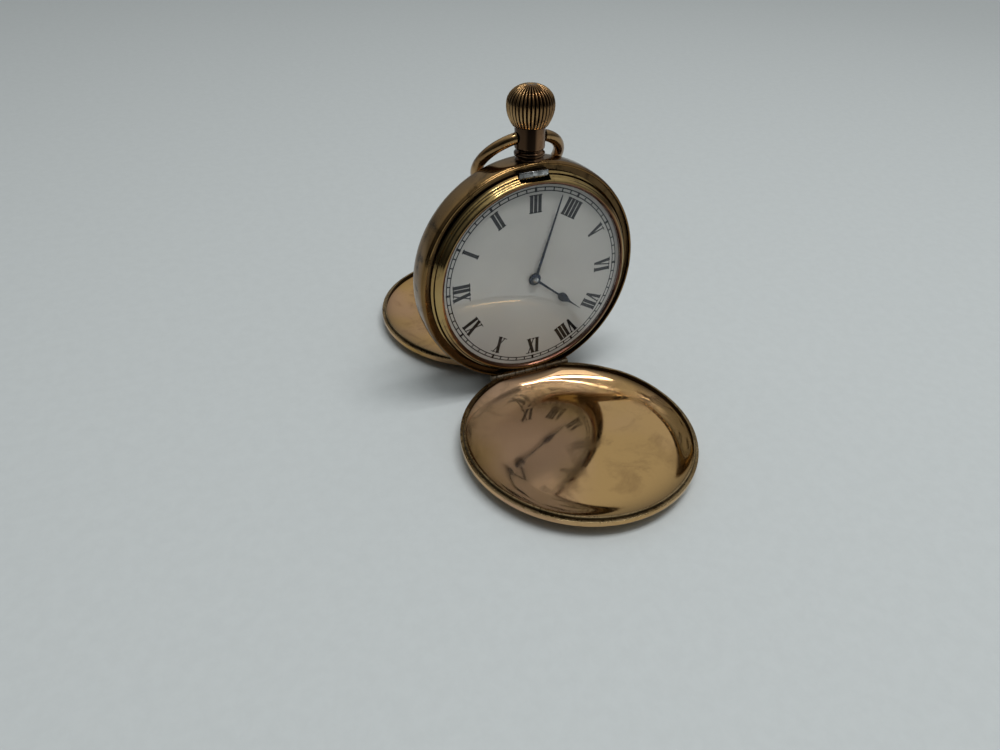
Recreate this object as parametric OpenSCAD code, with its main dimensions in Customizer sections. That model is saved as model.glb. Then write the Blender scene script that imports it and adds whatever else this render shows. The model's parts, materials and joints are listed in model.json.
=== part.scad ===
// Double hunter pocket watch: it stands on its two open covers.
// Case pieces are drawn in the case's own frame: +Z out of the dial, +Y to the crown at III, +X to VI.

/* [Case] */
// Widest diameter of the case band
case_d = 50; // [48.6:0.1:54]
// Height of the case band, from the front cover's seat to the back cover's seat
band_h = 6.4; // [6:0.1:6.8]
// How far the band is rounded in towards its two rims
band_round = 0.3; // [0.1:0.05:0.4]
// How far the front cover's seat lies behind the dial's face
seat_drop = 0.6; // [0.4:0.05:0.8]
// Width of the flat rim that each cover closes on
rim_w = 0.6; // [0.3:0.05:0.8]
// Depth of the snap groove inside each rim
groove_depth = 0.9; // [0.5:0.05:1.2]
// Width of the snap groove between each rim and its boss
groove_w = 1.9; // [1.8:0.05:2]
// Width of the bosses that the bezel and the dust cover snap over
boss_w = 0.8; // [0.7:0.05:0.9]
// How far each boss stands up from its groove's floor
boss_h = 0.6; // [0.3:0.05:0.8]
// Width of the ledge that the movement's rim rests on
ledge_w = 0.5; // [0.4:0.05:0.6]
// Depth of the channel in the bore where the case springs lie
channel_depth = 1.4; // [1:0.05:1.6]
// Height of the spring channel
channel_h = 3; // [2:0.1:3.4]

/* [Covers] */
// Height of the front cover, from its rim to its outer face
front_cover_h = 3.95; // [3.6:0.05:4.4]
// Height of the back cover, from its rim to its outer face
back_cover_h = 3.45; // [3.3:0.05:3.9]
// Thickness of each cover's shell
cover_wall = 0.5; // [0.4:0.02:0.56]
// How far each cover's edge stays inside the band's rim
cover_inset = 0.02; // [0:0.01:0.2]
// Width of each cover's rim
cover_rim_w = 0.88; // [0.8:0.02:0.95]
// Height of each cover's straight edge
cover_edge_h = 1.1; // [0.8:0.05:1.4]
// Radius of each cover's flat outer middle
cover_flat_r = 13; // [9:0.5:14]
// Depth of the lip that snaps into the groove
lip_depth = 0.6; // [0.3:0.05:0.7]
// Thickness of the snap lip
lip_w = 0.45; // [0.3:0.05:0.5]
// Gap between a closed cover and the band
cover_gap = 0.05; // [0.03:0.01:0.1]
// How far the dust cover's dome rises
dust_rise = 1.45; // [1.3:0.05:1.6]
// Thickness of the dust cover
dust_wall = 0.4; // [0.3:0.02:0.5]

/* [Cover hinges] */
// How far each hinge axis lies inside the band's widest radius
hinge_inset = 1.6; // [1.5:0.05:1.7]
// Length of each hinge
hinge_len = 19.4; // [17:0.1:20]
// Radius of the hinge knuckles
knuckle_r = 0.75; // [0.65:0.02:0.8]
// Radius of the hinge pins
hinge_pin_r = 0.33; // [0.25:0.01:0.4]
// Length of the middle knuckle
mid_knuckle = 2.8; // [2:0.1:4]
// Length of each of a cover's two knuckles
cover_knuckle = 2.4; // [2:0.1:3.2]
// Running clearance at pins, shafts and knuckles
run_gap = 0.03; // [0.02:0.005:0.05]
// Gap between neighbouring knuckles
knuckle_gap = 0.06; // [0.04:0.01:0.15]

/* [Bezel and crystal] */
// Width of the bezel
bezel_w = 2.23; // [2.1:0.01:2.4]
// Thickness of the skirts of the bezel and the dust cover round their bosses
skirt_t = 0.38; // [0.3:0.01:0.4]
// Height of the bezel's crest over the dial's face
bezel_h = 1.2; // [1.15:0.05:1.3]
// Thickness of the crystal
crystal_t = 0.6; // [0.5:0.05:0.65]
// Height of the crystal's middle over the dial's face
crystal_h = 2.35; // [2.3:0.05:2.5]

/* [Dial and hands] */
// Clearance between the dial's edge and its recess
dial_gap = 0.2; // [0.15:0.05:0.4]
// Thickness of the enamelled dial
dial_t = 0.8; // [0.6:0.05:0.85]
// Distance from the dial's edge to the minute track's middle line
track_inset = 1.7; // [1.4:0.1:2.2]
// Width of the minute track
track_w = 0.75; // [0.5:0.05:1]
// Gap between the minute hand's tip and the minute track's middle line
minute_gap = 1.1; // [0.2:0.1:2]
// How much shorter the hour hand is than the minute hand
hour_gap = 3.7; // [3:0.1:6]
// Thickness of the hands
hand_t = 0.14; // [0.1:0.01:0.18]
// Time that the hands show, in minutes after VI
time_shown = 77.9; // [0:0.1:720]

/* [Pendant, bow and crown] */
// Radius of the pendant's neck
neck_r = 3.05; // [2.9:0.05:3.15]
// Length of the pendant, from its seat to the neck's top
pendant_len = 7.6; // [7.4:0.05:7.8]
// How far the pendant's seat is sunk into the band
pendant_sink = 0.7; // [0.6:0.05:0.8]
// How far the bow's pivots lie below the neck's top
pivot_drop = 3; // [2.7:0.1:3.2]
// Radius of the bow's ring, to the middle of the wire
bow_r = 8.95; // [8.5:0.05:9.5]
// Radius of the bow's wire
bow_wire_r = 1.15; // [0.9:0.05:1.2]
// Distance from the pivots to the middle of the bow's ring
bow_reach = 8.35; // [8.2:0.05:8.7]
// Angle of the resting bow, from straight up to behind the case
bow_rest_angle = 140; // [135:1:142]
// Radius of the bow's pivot pins
bow_pin_r = 0.5; // [0.4:0.02:0.6]
// Greatest radius of the crown
crown_r = 4.75; // [4.2:0.05:5]
// How far the crown's lower edge reaches over the neck
crown_overlap = 0.8; // [0.7:0.05:0.9]
// Length of the crown
crown_len = 7.7; // [6.5:0.1:8]
// Number of flutes round the crown
crown_flutes = 36; // [24:2:44]
// Depth of the crown's flutes
flute_depth = 0.3; // [0.1:0.02:0.36]
// Radius of the winding stem
stem_r = 0.6; // [0.5:0.02:0.65]
// Length of the steel catch under the crown
catch_len = 6.4; // [5:0.1:7]
// Width of the catch
catch_w = 1.25; // [1.1:0.05:1.3]
// How far the catch sits to the XII side of the crown
catch_shift = 0.6; // [0:0.1:1]
// Travel of the catch when it frees the front cover
catch_travel = 0.35; // [0.2:0.05:0.4]

/* [Movement] */
// Clearance between the main plate and the bore
plate_gap = 0.2; // [0.1:0.05:0.5]
// Thickness of the main plate
plate_t = 2.25; // [2.1:0.05:2.3]
// Thickness of the bridges
bridge_t = 1.2; // [1.05:0.05:1.25]
// Clearance between the bridges and the bore
bridge_gap = 0.9; // [0.5:0.05:1.3]
// Radius of the bearing jewels
jewel_r = 0.6; // [0.5:0.02:0.64]
// Radius of the train pivots
pivot_r = 0.14; // [0.1:0.01:0.18]
// Radius of the train arbors
arbor_r = 0.3; // [0.25:0.01:0.34]
// Thickness of the train wheels
wheel_t = 0.25; // [0.15:0.01:0.26]
// Radius of the balance's rim, for the layout's plate
balance_r = 6.2; // [5.6:0.1:6.3]
// Radius of the escape wheel, for the layout's plate
escape_r = 2.5; // [2.3:0.05:2.55]
// Radius of the bridge screws
screw_r = 0.5; // [0.4:0.02:0.55]

/* [Gear train] */
// Teeth of the barrel
barrel_teeth = 74; // [72:1:76]
// Leaves of the centre pinion
center_leaves = 12; // [12:1:12]
// Tooth module of the barrel and the centre pinion, for the layout's plate
barrel_module = 0.2; // [0.195:0.001:0.203]
// Teeth of the centre wheel
center_teeth = 80; // [76:1:82]
// Leaves of the third pinion
third_leaves = 10; // [10:1:10]
// Tooth module of the centre wheel and the third pinion, for the layout's plate
center_module = 0.15; // [0.145:0.001:0.152]
// Teeth of the third wheel
third_teeth = 75; // [72:1:77]
// Leaves of the fourth pinion
fourth_leaves = 10; // [10:1:10]
// Tooth module of the third wheel and the fourth pinion, for the layout's plate
third_module = 0.13; // [0.125:0.001:0.132]
// Teeth of the fourth wheel
fourth_teeth = 80; // [76:1:82]
// Leaves of the escape pinion
escape_leaves = 8; // [8:1:8]
// Tooth module of the fourth wheel and the escape pinion, for the layout's plate
fourth_module = 0.11; // [0.105:0.001:0.112]
// Leaves of the cannon pinion
cannon_leaves = 12; // [12:1:12]
// Teeth of the minute wheel
minute_teeth = 36; // [36:1:36]
// Leaves of the minute pinion
minute_leaves = 10; // [10:1:10]
// Teeth of the hour wheel
hour_teeth = 40; // [40:1:40]
// Tooth module of the cannon pinion and the minute wheel, for the layout's plate
motion_module = 0.15; // [0.145:0.001:0.155]
// Teeth of the crown wheel
crown_wheel_teeth = 24; // [22:1:24]
// Teeth of the ratchet wheel
ratchet_teeth = 44; // [42:1:46]
// Tooth module of the winding wheels, for the layout's plate
winding_module = 0.25; // [0.24:0.005:0.255]

/* [Hidden] */

$fn = 72;
smooth_fn = 180;
eps = 0.01;

// Heights along the case's axis; the dial's face is at 0
front_z = -seat_drop;
back_z = front_z - band_h;
stem_z = (front_z + back_z) / 2;
case_r = case_d / 2;
rim_r = case_r - band_round;
rim_in_r = rim_r - rim_w;
boss_r = rim_in_r - groove_w;
dial_recess_r = boss_r - boss_w;
bore_r = dial_recess_r - ledge_w;
channel_r = bore_r + channel_depth;
hinge_r = case_r - hinge_inset;
front_boss_z = front_z - groove_depth + boss_h;
back_boss_z = back_z + groove_depth - boss_h + 0.1;
dial_back_z = -dial_t;
plate_front_z = dial_back_z - 0.05;
plate_seat_z = plate_front_z - 0.75;
plate_back_z = plate_front_z - plate_t;
bridge_top_z = back_boss_z;
bridge_z = bridge_top_z + bridge_t;
train_space = plate_back_z - bridge_z;

// Stance: both covers lie flat, and the difference of their heights leans the case back
lean = asin((front_cover_h - back_cover_h) / band_h);
case_z = front_cover_h + hinge_r * cos(lean) - front_z * sin(lean);
front_hinge_y = -hinge_r * sin(lean) - front_z * cos(lean);
back_hinge_y = -hinge_r * sin(lean) - back_z * cos(lean);
case_y = -(front_hinge_y + back_hinge_y) / 2;

// Covers
cover_r = rim_r - cover_inset;
cover_in_r = cover_r - cover_rim_w;
lip_r = rim_in_r - 0.06;
chord_cut = hinge_r - 0.3;
web_in = hinge_r - 0.66;
knuckle_start = mid_knuckle / 2 + knuckle_gap;
knuckle_end = knuckle_start + cover_knuckle;
pin_bore_r = hinge_pin_r + run_gap;

// Catch and case springs
spring_t = 0.45;
spring_h = channel_h - 0.5;
catch_y0 = rim_in_r - lip_w - 0.5 - catch_w;
catch_z0 = stem_z + spring_h / 2 + 0.02;
catch_z1 = -0.2;

// Bezel, crystal, dial and hands
bezel_out_r = boss_r + skirt_t;
bezel_in_r = bezel_out_r - bezel_w;
crystal_seat_w = 0.42;
crystal_seat_r = bezel_in_r + crystal_seat_w;
crystal_edge_z = 0.65;
dial_r = dial_recess_r - dial_gap;
track_r = dial_r - track_inset;
minute_len = track_r - minute_gap;
hour_len = minute_len - hour_gap;
hour_hand_z = 0.2;
minute_hand_z = 0.5;

// Pendant, bow and crown
pendant_seat = case_r - pendant_sink;
neck_top = pendant_seat + pendant_len;
bow_pivot_y = neck_top - pivot_drop;
crown_low = neck_top - crown_overlap;
flange_r = 2.95;
sleeve_r = 1.15;

// The movement's places and modules are laid out for a plate of this radius, and follow the real plate
layout_r = 20.7;
plate_r = bore_r - plate_gap;
bridge_r = bore_r - bridge_gap;
spread = plate_r / layout_r;
barrel_m = barrel_module * spread;
center_m = center_module * spread;
third_m = third_module * spread;
fourth_m = fourth_module * spread;
motion_m = motion_module * spread;
winding_m = winding_module * spread;
balance_rim_r = balance_r * spread;
escape_tip_r = escape_r * spread;

// Train centres
center_p = [0, 0];
barrel_dist = barrel_m * (barrel_teeth + center_leaves) / 2;
winding_dist = winding_m * (ratchet_teeth + crown_wheel_teeth) / 2;
crown_wheel_p = [0, 13.3 * spread];
barrel_y = (pow(barrel_dist, 2) - pow(winding_dist, 2) + pow(crown_wheel_p[1], 2))
    / (2 * crown_wheel_p[1]);
barrel_p = [-sqrt(pow(barrel_dist, 2) - pow(barrel_y, 2)), barrel_y];
third_dir = -20;
fourth_dir = -100;
escape_dir = -150;
third_p = polar(center_m * (center_teeth + third_leaves) / 2, third_dir);
fourth_p = third_p + polar(third_m * (third_teeth + fourth_leaves) / 2, fourth_dir);
escape_p = fourth_p + polar(fourth_m * (fourth_teeth + escape_leaves) / 2, escape_dir);
pallet_dist = 3.3 * spread;
fork_len = 4.3 * spread;
pallet_p = escape_p - [pallet_dist, 0];
balance_p = pallet_p - [fork_len, 0];
minute_dir = 45;
minute_p = polar(motion_m * (cannon_leaves + minute_teeth) / 2, minute_dir);
minute_pinion_module = 2 * norm(minute_p) / (minute_leaves + hour_teeth);

// Levels of the wheels
barrel_z0 = bridge_z + 0.6;
barrel_z1 = plate_back_z - 0.2;
center_wheel_z = bridge_z + 0.15;
fourth_wheel_z = bridge_z + 0.55;
third_wheel_z = plate_back_z - 0.6;
escape_wheel_z = plate_back_z - 0.75;
balance_z = bridge_z - 0.7;
cock_z = balance_z - 0.45;
cock_t = 0.6;
pallet_bridge_z = bridge_z + 0.2;
pallet_bridge_t = 0.6;
jewel_t = 0.35;
winding_wheel_t = 0.5;

// Winding parts along the stem
pinion_y0 = 15 * spread;
pinion_len = 2;
pinion_r = 2.25;
clutch_y0 = 13.45 * spread;
clutch_len = 1.2;
clutch_r = 1.1;
slot_y0 = 12.6 * spread;

gold = [0.72, 0.53, 0.28];
rose_gold = [0.70, 0.45, 0.26];
nickel = [0.72, 0.72, 0.70];
brass = [0.78, 0.62, 0.32];
steel = [0.62, 0.63, 0.65];
blued = [0.10, 0.14, 0.22];
ruby = [0.75, 0.12, 0.20];
enamel = [0.90, 0.90, 0.88];

function polar(r, a) = [r * cos(a), r * sin(a)];
function arc(cx, cy, r, a0, a1, n) = [for (i = [0 : n]) [cx, cy] + polar(r, a0 + (a1 - a0) * i / n)];
// Points of a shallow dome from its edge of radius r to its middle, or back where the steps run down
function dome_curve(r, edge_z, mid_z, steps, n) = [for (i = steps) let (t = 1 - i / n)
    [r * t, mid_z + (edge_z - mid_z) * pow(t, 2)]];
function turn_to(a, b) = atan2(b[1] - a[1], b[0] - a[0]);
// Phase that puts a driven gear's gap on its driver's tooth
function mesh_phase(dir, phase, n1, n2) = dir + 180 - (phase - dir) * n1 / n2 + 180 / n2;

// Four corners a tooth: two at the root and two at the tip
function gear_points(n, m, phase, tip, root, half_tip, half_root) = [
    for (i = [0 : n - 1]) each
        let (a = phase + 360 * i / n, p = 360 / n, r = m * n / 2)
        [polar(r - root * m, a - half_root * p), polar(r + tip * m, a - half_tip * p),
         polar(r + tip * m, a + half_tip * p), polar(r - root * m, a + half_root * p)]
];

// A flat band wound as a spiral, from inside to outside
function spiral_points(r0, r1, turns, steps, w) = [
    each [for (i = [0 : turns * steps]) polar(r0 + (r1 - r0) * i / turns / steps, 360 * i / steps)],
    each [for (i = [turns * steps : -1 : 0]) polar(r0 + (r1 - r0) * i / turns / steps + w, 360 * i / steps)]
];

module in_case() translate([0, case_y, case_z]) rotate([90 - lean, 0, 0]) children();

module place(p, z = 0) translate([p[0], p[1], z]) children();

module lathe(points, fn = smooth_fn) rotate_extrude($fn = fn) polygon(points);

// Turns a shape drawn along +Z so that it runs along the stem
module along_stem() translate([0, 0, stem_z]) rotate([-90, 0, 0]) children();

// A rod along X, from x0 on
module rod_x(r, x0, len) translate([x0, 0, 0]) rotate([0, 90, 0]) cylinder(r = r, h = len);

module disc(p, r, z0, h) place(p, z0) cylinder(r = r, h = h);

module wheel_teeth(n, m, phase) polygon(gear_points(n, m, phase, 0.7, 1.0, 0.10, 0.25));

module pinion_teeth(n, m, phase) polygon(gear_points(n, m, phase, 0.6, 1.0, 0.09, 0.22));

// A rim of teeth on five spokes and a hub
module spoked_wheel(n, m, t, phase, hub, rim) {
    linear_extrude(t) difference() {
        wheel_teeth(n, m, phase);
        difference() {
            circle(r = m * n / 2 - rim);
            circle(r = hub);
            for (i = [0 : 4]) rotate(72 * i) translate([0, -0.28]) square([m * n / 2, 0.56]);
        }
        circle(r = arbor_r - 0.1);
    }
}

// Arbor with its two pivots, between the plate and a bridge
module arbor(p, r = arbor_r, z0 = bridge_z, z1 = plate_back_z, pivot = pivot_r) {
    disc(p, r, z0 + 0.08, z1 - z0 - 0.16);
    disc(p, pivot, z0 - jewel_t + 0.05, z1 - z0 + 2 * jewel_t - 0.1);
}

module ring_sector(r0, r1, a0, a1, h) {
    rotate([0, 0, a0]) rotate_extrude(angle = a1 - a0) translate([r0, 0]) square([r1 - r0, h]);
}

// Case band

module band_outline() {
    ch0 = stem_z + channel_h / 2;
    ch1 = stem_z - channel_h / 2;
    polygon([
        each [for (i = [-6 : 6]) [case_r - band_round * pow(abs(i / 6), 4), stem_z + i * band_h / 12]],
        [rim_in_r, front_z], [rim_in_r, front_z - groove_depth],
        [boss_r, front_z - groove_depth], [boss_r, front_boss_z],
        [dial_recess_r, front_boss_z], [dial_recess_r, plate_seat_z],
        [bore_r, plate_seat_z], [bore_r, ch0], [channel_r, ch0], [channel_r, ch1], [bore_r, ch1],
        [bore_r, back_boss_z], [boss_r, back_boss_z],
        [boss_r, back_z + groove_depth], [rim_in_r, back_z + groove_depth], [rim_in_r, back_z]
    ]);
}

// Lengths of the hinge that belong to the band: the two long outer knuckles and the middle one
module band_knuckle_spans(r) {
    outer0 = knuckle_end + knuckle_gap;
    outer_len = hinge_len / 2 - outer0;
    for (x = [-hinge_len / 2, outer0]) rod_x(r, x, outer_len);
    rod_x(r, -mid_knuckle / 2, mid_knuckle);
}

module cover_knuckle_spans(r, extra = 0) {
    for (x = [-knuckle_end, knuckle_start]) rod_x(r, x - extra, cover_knuckle + 2 * extra);
}

module hinge_bore() rod_x(pin_bore_r, -case_r, case_d);

module at_hinge(z) translate([0, -hinge_r, z]) children();

module catch_pocket() {
    translate([-catch_shift - catch_len / 2 - 0.1, catch_y0 - catch_travel - 0.1, catch_z0 - 0.05])
        cube([catch_len + 0.2, catch_w + catch_travel + 0.2, -catch_z0 + 3]);
}

module case_band() color(gold) in_case() {
    difference() {
        union() {
            difference() {
                rotate_extrude($fn = smooth_fn) band_outline();
                for (z = [front_z, back_z]) at_hinge(z)
                    cover_knuckle_spans(knuckle_r + 2 * run_gap, knuckle_gap);
            }
            for (z = [front_z, back_z]) at_hinge(z) band_knuckle_spans(knuckle_r);
        }
        for (z = [front_z, back_z]) at_hinge(z) hinge_bore();
        catch_pocket();
        along_stem() {
            cylinder(r = stem_r + 0.2, h = case_r + 1);
            translate([0, 0, pendant_seat]) cylinder(r = flange_r + 0.03, h = 3);
        }
    }
}

// Front and back covers: the same dish, with its rim at 0 and its outer face at h

// A shoulder that eases from the rim at height z0 into the flat middle at height z1
function dish_curve(rim, z0, z1) = [for (i = [0 : 12]) let (t = i / 12)
    [rim - (rim - cover_flat_r) * (0.55 * (1 - cos(90 * t)) + 0.45 * t), z0 + (z1 - z0) * sin(90 * t)]];

module cover_outline(h) polygon([[0, 0], [cover_r, 0], each dish_curve(cover_r, cover_edge_h, h), [0, h]]);

module cover_hollow(h) {
    in_z = h - cover_wall;
    polygon([[0, -1], [cover_in_r, -1], each dish_curve(cover_in_r, cover_edge_h - 0.35, in_z), [0, in_z]]);
}

module cover(h) {
    difference() {
        union() {
            difference() {
                rotate_extrude($fn = smooth_fn) cover_outline(h);
                difference() {
                    rotate_extrude($fn = smooth_fn) cover_hollow(h);
                    // web that carries the knuckles
                    translate([-hinge_len / 2, -case_r, -2]) cube([hinge_len, case_r - web_in, 9]);
                }
                // everything beyond the hinge is cut away along a straight chord
                translate([-hinge_len / 2 - 0.1, -case_r - 1, -1])
                    cube([hinge_len + 0.2, case_r + 1 - chord_cut, 9]);
            }
            // snap lip, left out near the hinge
            difference() {
                translate([0, 0, -lip_depth]) lathe([[lip_r - lip_w, 0], [lip_r - 0.08, 0], [lip_r, 0.15],
                    [lip_r, lip_depth + 0.3], [lip_r - lip_w, lip_depth + 0.3]]);
                translate([-case_r, -case_r - 1, -2]) cube([case_d, case_r - 15, 4]);
            }
        }
        translate([0, -hinge_r, -cover_gap]) {
            intersection() {
                translate([-hinge_len / 2 - 0.1, -2, -2]) cube([hinge_len + 0.2, 4, 4]);
                rod_x(knuckle_r + 2 * run_gap, -case_r, case_d);
            }
        }
    }
}

// Knuckles joined to the cover's web
module cover_knuckles() {
    difference() {
        union() {
            cover_knuckle_spans(knuckle_r);
            for (x = [-knuckle_end, knuckle_start]) translate([x, 0.3, 0])
                cube([cover_knuckle, hinge_r - web_in - 0.3, knuckle_r + 0.5]);
        }
        hinge_bore();
    }
}

module closed_front_cover() {
    translate([0, 0, front_z + cover_gap]) cover(front_cover_h - cover_gap);
    at_hinge(front_z) cover_knuckles();
}

module closed_back_cover() {
    translate([0, 0, back_z - cover_gap]) mirror([0, 0, 1]) cover(back_cover_h - cover_gap);
    at_hinge(back_z) mirror([0, 0, 1]) cover_knuckles();
}

module opened(z, angle) at_hinge(z) rotate([angle, 0, 0]) translate([0, hinge_r, -z]) children();

module front_cover() color(rose_gold) in_case() opened(front_z, 90 + lean) closed_front_cover();

module back_cover() color(rose_gold) in_case() opened(back_z, -90 + lean) closed_back_cover();

module hinge_pin(z) at_hinge(z) rod_x(hinge_pin_r, -hinge_len / 2, hinge_len);

module front_hinge_pin() color(steel) in_case() hinge_pin(front_z);

module back_hinge_pin() color(steel) in_case() hinge_pin(back_z);

// Inner dust cover, snapped over the back boss
module dust_cover() color(gold) in_case() {
    z0 = back_boss_z;
    in_r = boss_r + run_gap;
    out_r = bezel_out_r;
    edge = 0.35;
    dome_r = in_r - 0.4;
    low_z = z0 - edge;
    difference() {
        lathe([
            [in_r, z0 + 0.3], [in_r, z0], [dome_r, z0],
            each dome_curve(dome_r, low_z, low_z - dust_rise, [0 : 10], 10),
            each dome_curve(dome_r + 0.2, low_z - dust_wall, low_z - dust_wall - dust_rise, [10 : -1 : 0], 10),
            [out_r, low_z], [out_r, z0 + 0.3]
        ]);
        // thumb notch that helps to lift it
        rotate(60) translate([out_r + 0.35, 0, z0 - 1.5]) cylinder(r = 0.6, h = 3);
    }
}

// Bezel and crystal

module bezel() color(gold) in_case() difference() {
    lathe([
        [bezel_out_r, front_boss_z - 0.4], [bezel_out_r, front_z + 0.05],
        [bezel_out_r - 0.25, front_z + 0.4], [bezel_in_r + 0.95, bezel_h - 0.25],
        [bezel_in_r + 0.65, bezel_h - 0.04], [bezel_in_r + 0.45, bezel_h],
        [bezel_in_r + 0.2, bezel_h - 0.06], [bezel_in_r + 0.15, bezel_h - 0.15],
        [crystal_seat_r, bezel_h - 0.15], [crystal_seat_r, crystal_edge_z - run_gap],
        [bezel_in_r, crystal_edge_z - run_gap], [bezel_in_r, 0.05],
        [dial_recess_r - 0.1, 0.05], [dial_recess_r - 0.1, front_boss_z],
        [boss_r + run_gap, front_boss_z], [boss_r + run_gap, front_boss_z - 0.4]
    ]);
    catch_pocket();
}

module crystal() color([0.85, 0.92, 0.95, 0.35]) in_case() {
    r = crystal_seat_r - run_gap;
    top0 = bezel_h - 0.15 - run_gap;
    low_h = crystal_h - crystal_t;
    lathe([
        each dome_curve(r, top0, crystal_h, [0 : 12], 12),
        each dome_curve(r - 0.6, crystal_edge_z, low_h, [12 : -1 : 0], 12),
        [r, crystal_edge_z]
    ]);
}

// Dial, with its feet and its fired minute track

feet_r = 16 * spread;
feet_at = [48, 141, 255];
dial_screw_r = 0.3;

module dial() color(enamel) in_case() {
    difference() {
        union() {
            translate([0, 0, dial_back_z]) cylinder(r = dial_r, h = dial_t, $fn = smooth_fn);
            for (a = feet_at) disc(polar(feet_r, a), 0.45, plate_front_z - 1.4, 1.6);
        }
        translate([0, 0, dial_back_z - 1]) cylinder(r = 1.25, h = 4);
        for (s = [-1, 1]) translate([0, 0, -0.03]) ring_cut(track_r + s * track_w / 2, 0.08);
    }
}

module ring_cut(r, w) difference() {
    cylinder(r = r + w / 2, h = 1, $fn = smooth_fn);
    translate([0, 0, -1]) cylinder(r = r - w / 2, h = 3, $fn = smooth_fn);
}

// Hands

minute_angle = 180 - 6 * (time_shown % 60);
hour_angle = -0.5 * time_shown;

module minute_hand() color(blued) in_case() translate([0, 0, minute_hand_z]) rotate(minute_angle)
    linear_extrude(hand_t) difference() {
        union() {
            circle(r = 1.25);
            polygon([[0, -0.32], [minute_len * 0.6, -0.19], [minute_len, -0.07], [minute_len, 0.07],
                [minute_len * 0.6, 0.19], [0, 0.32]]);
        }
        circle(r = cannon_tip_r + 0.01);
    }

// Spade hand: arm, leaf and needle
leaf_r = 0.95;
leaf_x = hour_len - 5.45;

module hour_hand() color(blued) in_case() translate([0, 0, hour_hand_z]) rotate(hour_angle)
    linear_extrude(hand_t) difference() {
        union() {
            circle(r = 1.45);
            polygon([[0, -0.28], [leaf_x, -0.2], [leaf_x, 0.2], [0, 0.28]]);
            translate([leaf_x, 0]) circle(r = leaf_r);
            polygon([[leaf_x, -leaf_r], [leaf_x + 1.8, -0.42], [leaf_x + 2.9, -0.16], [hour_len, -0.06],
                [hour_len, 0.06], [leaf_x + 2.9, 0.16], [leaf_x + 1.8, 0.42], [leaf_x, leaf_r]]);
        }
        circle(r = hour_pipe_r + 0.01);
    }

cannon_tip_r = 0.62;
cannon_bore_r = 0.43;
hour_pipe_r = 1.0;
recess_z = plate_front_z - 1.4;

cannon_phase = mesh_phase(minute_dir + 180, 0, minute_teeth, cannon_leaves);
hour_phase = mesh_phase(minute_dir + 180, 0, minute_leaves, hour_teeth);

module cannon_pinion() color(steel) in_case() difference() {
    union() {
        translate([0, 0, recess_z + 0.06]) linear_extrude(0.5)
            pinion_teeth(cannon_leaves, motion_m, cannon_phase);
        translate([0, 0, recess_z + 0.5]) cylinder(r = 0.7, h = minute_hand_z - recess_z - 0.5);
        translate([0, 0, minute_hand_z - eps]) cylinder(r = cannon_tip_r, h = hand_t + 0.12);
    }
    translate([0, 0, -5]) cylinder(r = cannon_bore_r, h = 10);
}

module hour_wheel() color(brass) in_case() {
    z = recess_z + 0.85;
    difference() {
        union() {
            translate([0, 0, z]) linear_extrude(0.22) wheel_teeth(hour_teeth, minute_pinion_module, hour_phase);
            translate([0, 0, z]) cylinder(r = 1.15, h = 0.4);
            translate([0, 0, z]) cylinder(r = hour_pipe_r, h = hour_hand_z + hand_t + 0.06 - z);
        }
        translate([0, 0, z - 1]) cylinder(r = 0.7 + run_gap, h = 6);
    }
}

module minute_wheel() color(brass) in_case() difference() {
    union() {
        place(minute_p, recess_z + 0.2) linear_extrude(0.22) wheel_teeth(minute_teeth, motion_m, 0);
        place(minute_p, recess_z + 0.42) linear_extrude(0.75)
            pinion_teeth(minute_leaves, minute_pinion_module, 0);
    }
    disc(minute_p, minute_post_r + run_gap, recess_z - 1, 5);
}

minute_post_r = 0.26;

// Pendant, bow and crown, drawn along +Z and turned onto the stem's line

module pendant() color(gold) in_case() difference() {
    along_stem() lathe([
        [sleeve_r + 0.02, pendant_seat + 0.02], [flange_r, pendant_seat + 0.02],
        [flange_r, pendant_seat + 0.5], [2.5, pendant_seat + 0.72],
        each arc(2.45, pendant_seat + 1.25, 0.5, -75, 75, 6),
        [2.42, pendant_seat + 1.85], [neck_r - 0.45, pendant_seat + 2.05],
        [neck_r - 0.1, pendant_seat + 2.6], [neck_r, pendant_seat + 3],
        [neck_r, neck_top - 0.15], [neck_r - 0.15, neck_top], [sleeve_r + 0.02, neck_top]
    ], 96);
    at_bow_pivots() rod_x(bow_pin_r + run_gap, -case_r, case_d);
}

module at_bow_pivots() translate([0, bow_pivot_y, stem_z]) children();

module pendant_sleeve() color(steel) in_case() along_stem() difference() {
    z0 = pendant_seat + 0.3;
    translate([0, 0, z0]) cylinder(r = sleeve_r, h = bow_pivot_y - bow_pin_r - 0.3 - z0);
    cylinder(r = stem_r + run_gap, h = 40);
}

// The two pivot pins reach from pin_in inside the neck to pin_out inside the bow's ends
pin_in = 1.35;
bow_end = neck_r + 0.15;
pin_out = bow_end + 0.75;

module bow_pins() color(gold) in_case() at_bow_pivots()
    for (x = [-pin_out, pin_in]) rod_x(bow_pin_r, x, pin_out - pin_in);

// The bow lies in the plane of X and the direction that leads away from the pivots
module bow() color(gold) in_case() at_bow_pivots() rotate([-bow_rest_angle, 0, 0]) difference() {
    translate([0, bow_reach, 0]) rotate_extrude($fn = 120)
        translate([bow_r, 0]) circle(r = bow_wire_r, $fn = 36);
    translate([-bow_end, -6, -3]) cube([2 * bow_end, 8.5, 6]);
    rod_x(bow_pin_r + run_gap, -case_r, case_d);
    for (s = [-1, 1]) translate([s * (bow_end + 3) - 3, -3.2, -3]) cube([6, 2, 6]);
}

crown_bore_r = neck_r + 0.1;
crown_low_r = crown_bore_r + 0.25;
crown_recess = 1.9;
crown_steps = 11;

// Radius of the crown at height t, from 0 at its lower edge to 1 at its top
function crown_profile(t) = t < 0.5
    ? crown_low_r + (crown_r - crown_low_r) * pow(sin(180 * t), 0.8)
    : crown_r * pow(1 - pow((t - 0.5) / 0.5, 2.3) * 0.91, 0.5);

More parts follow.
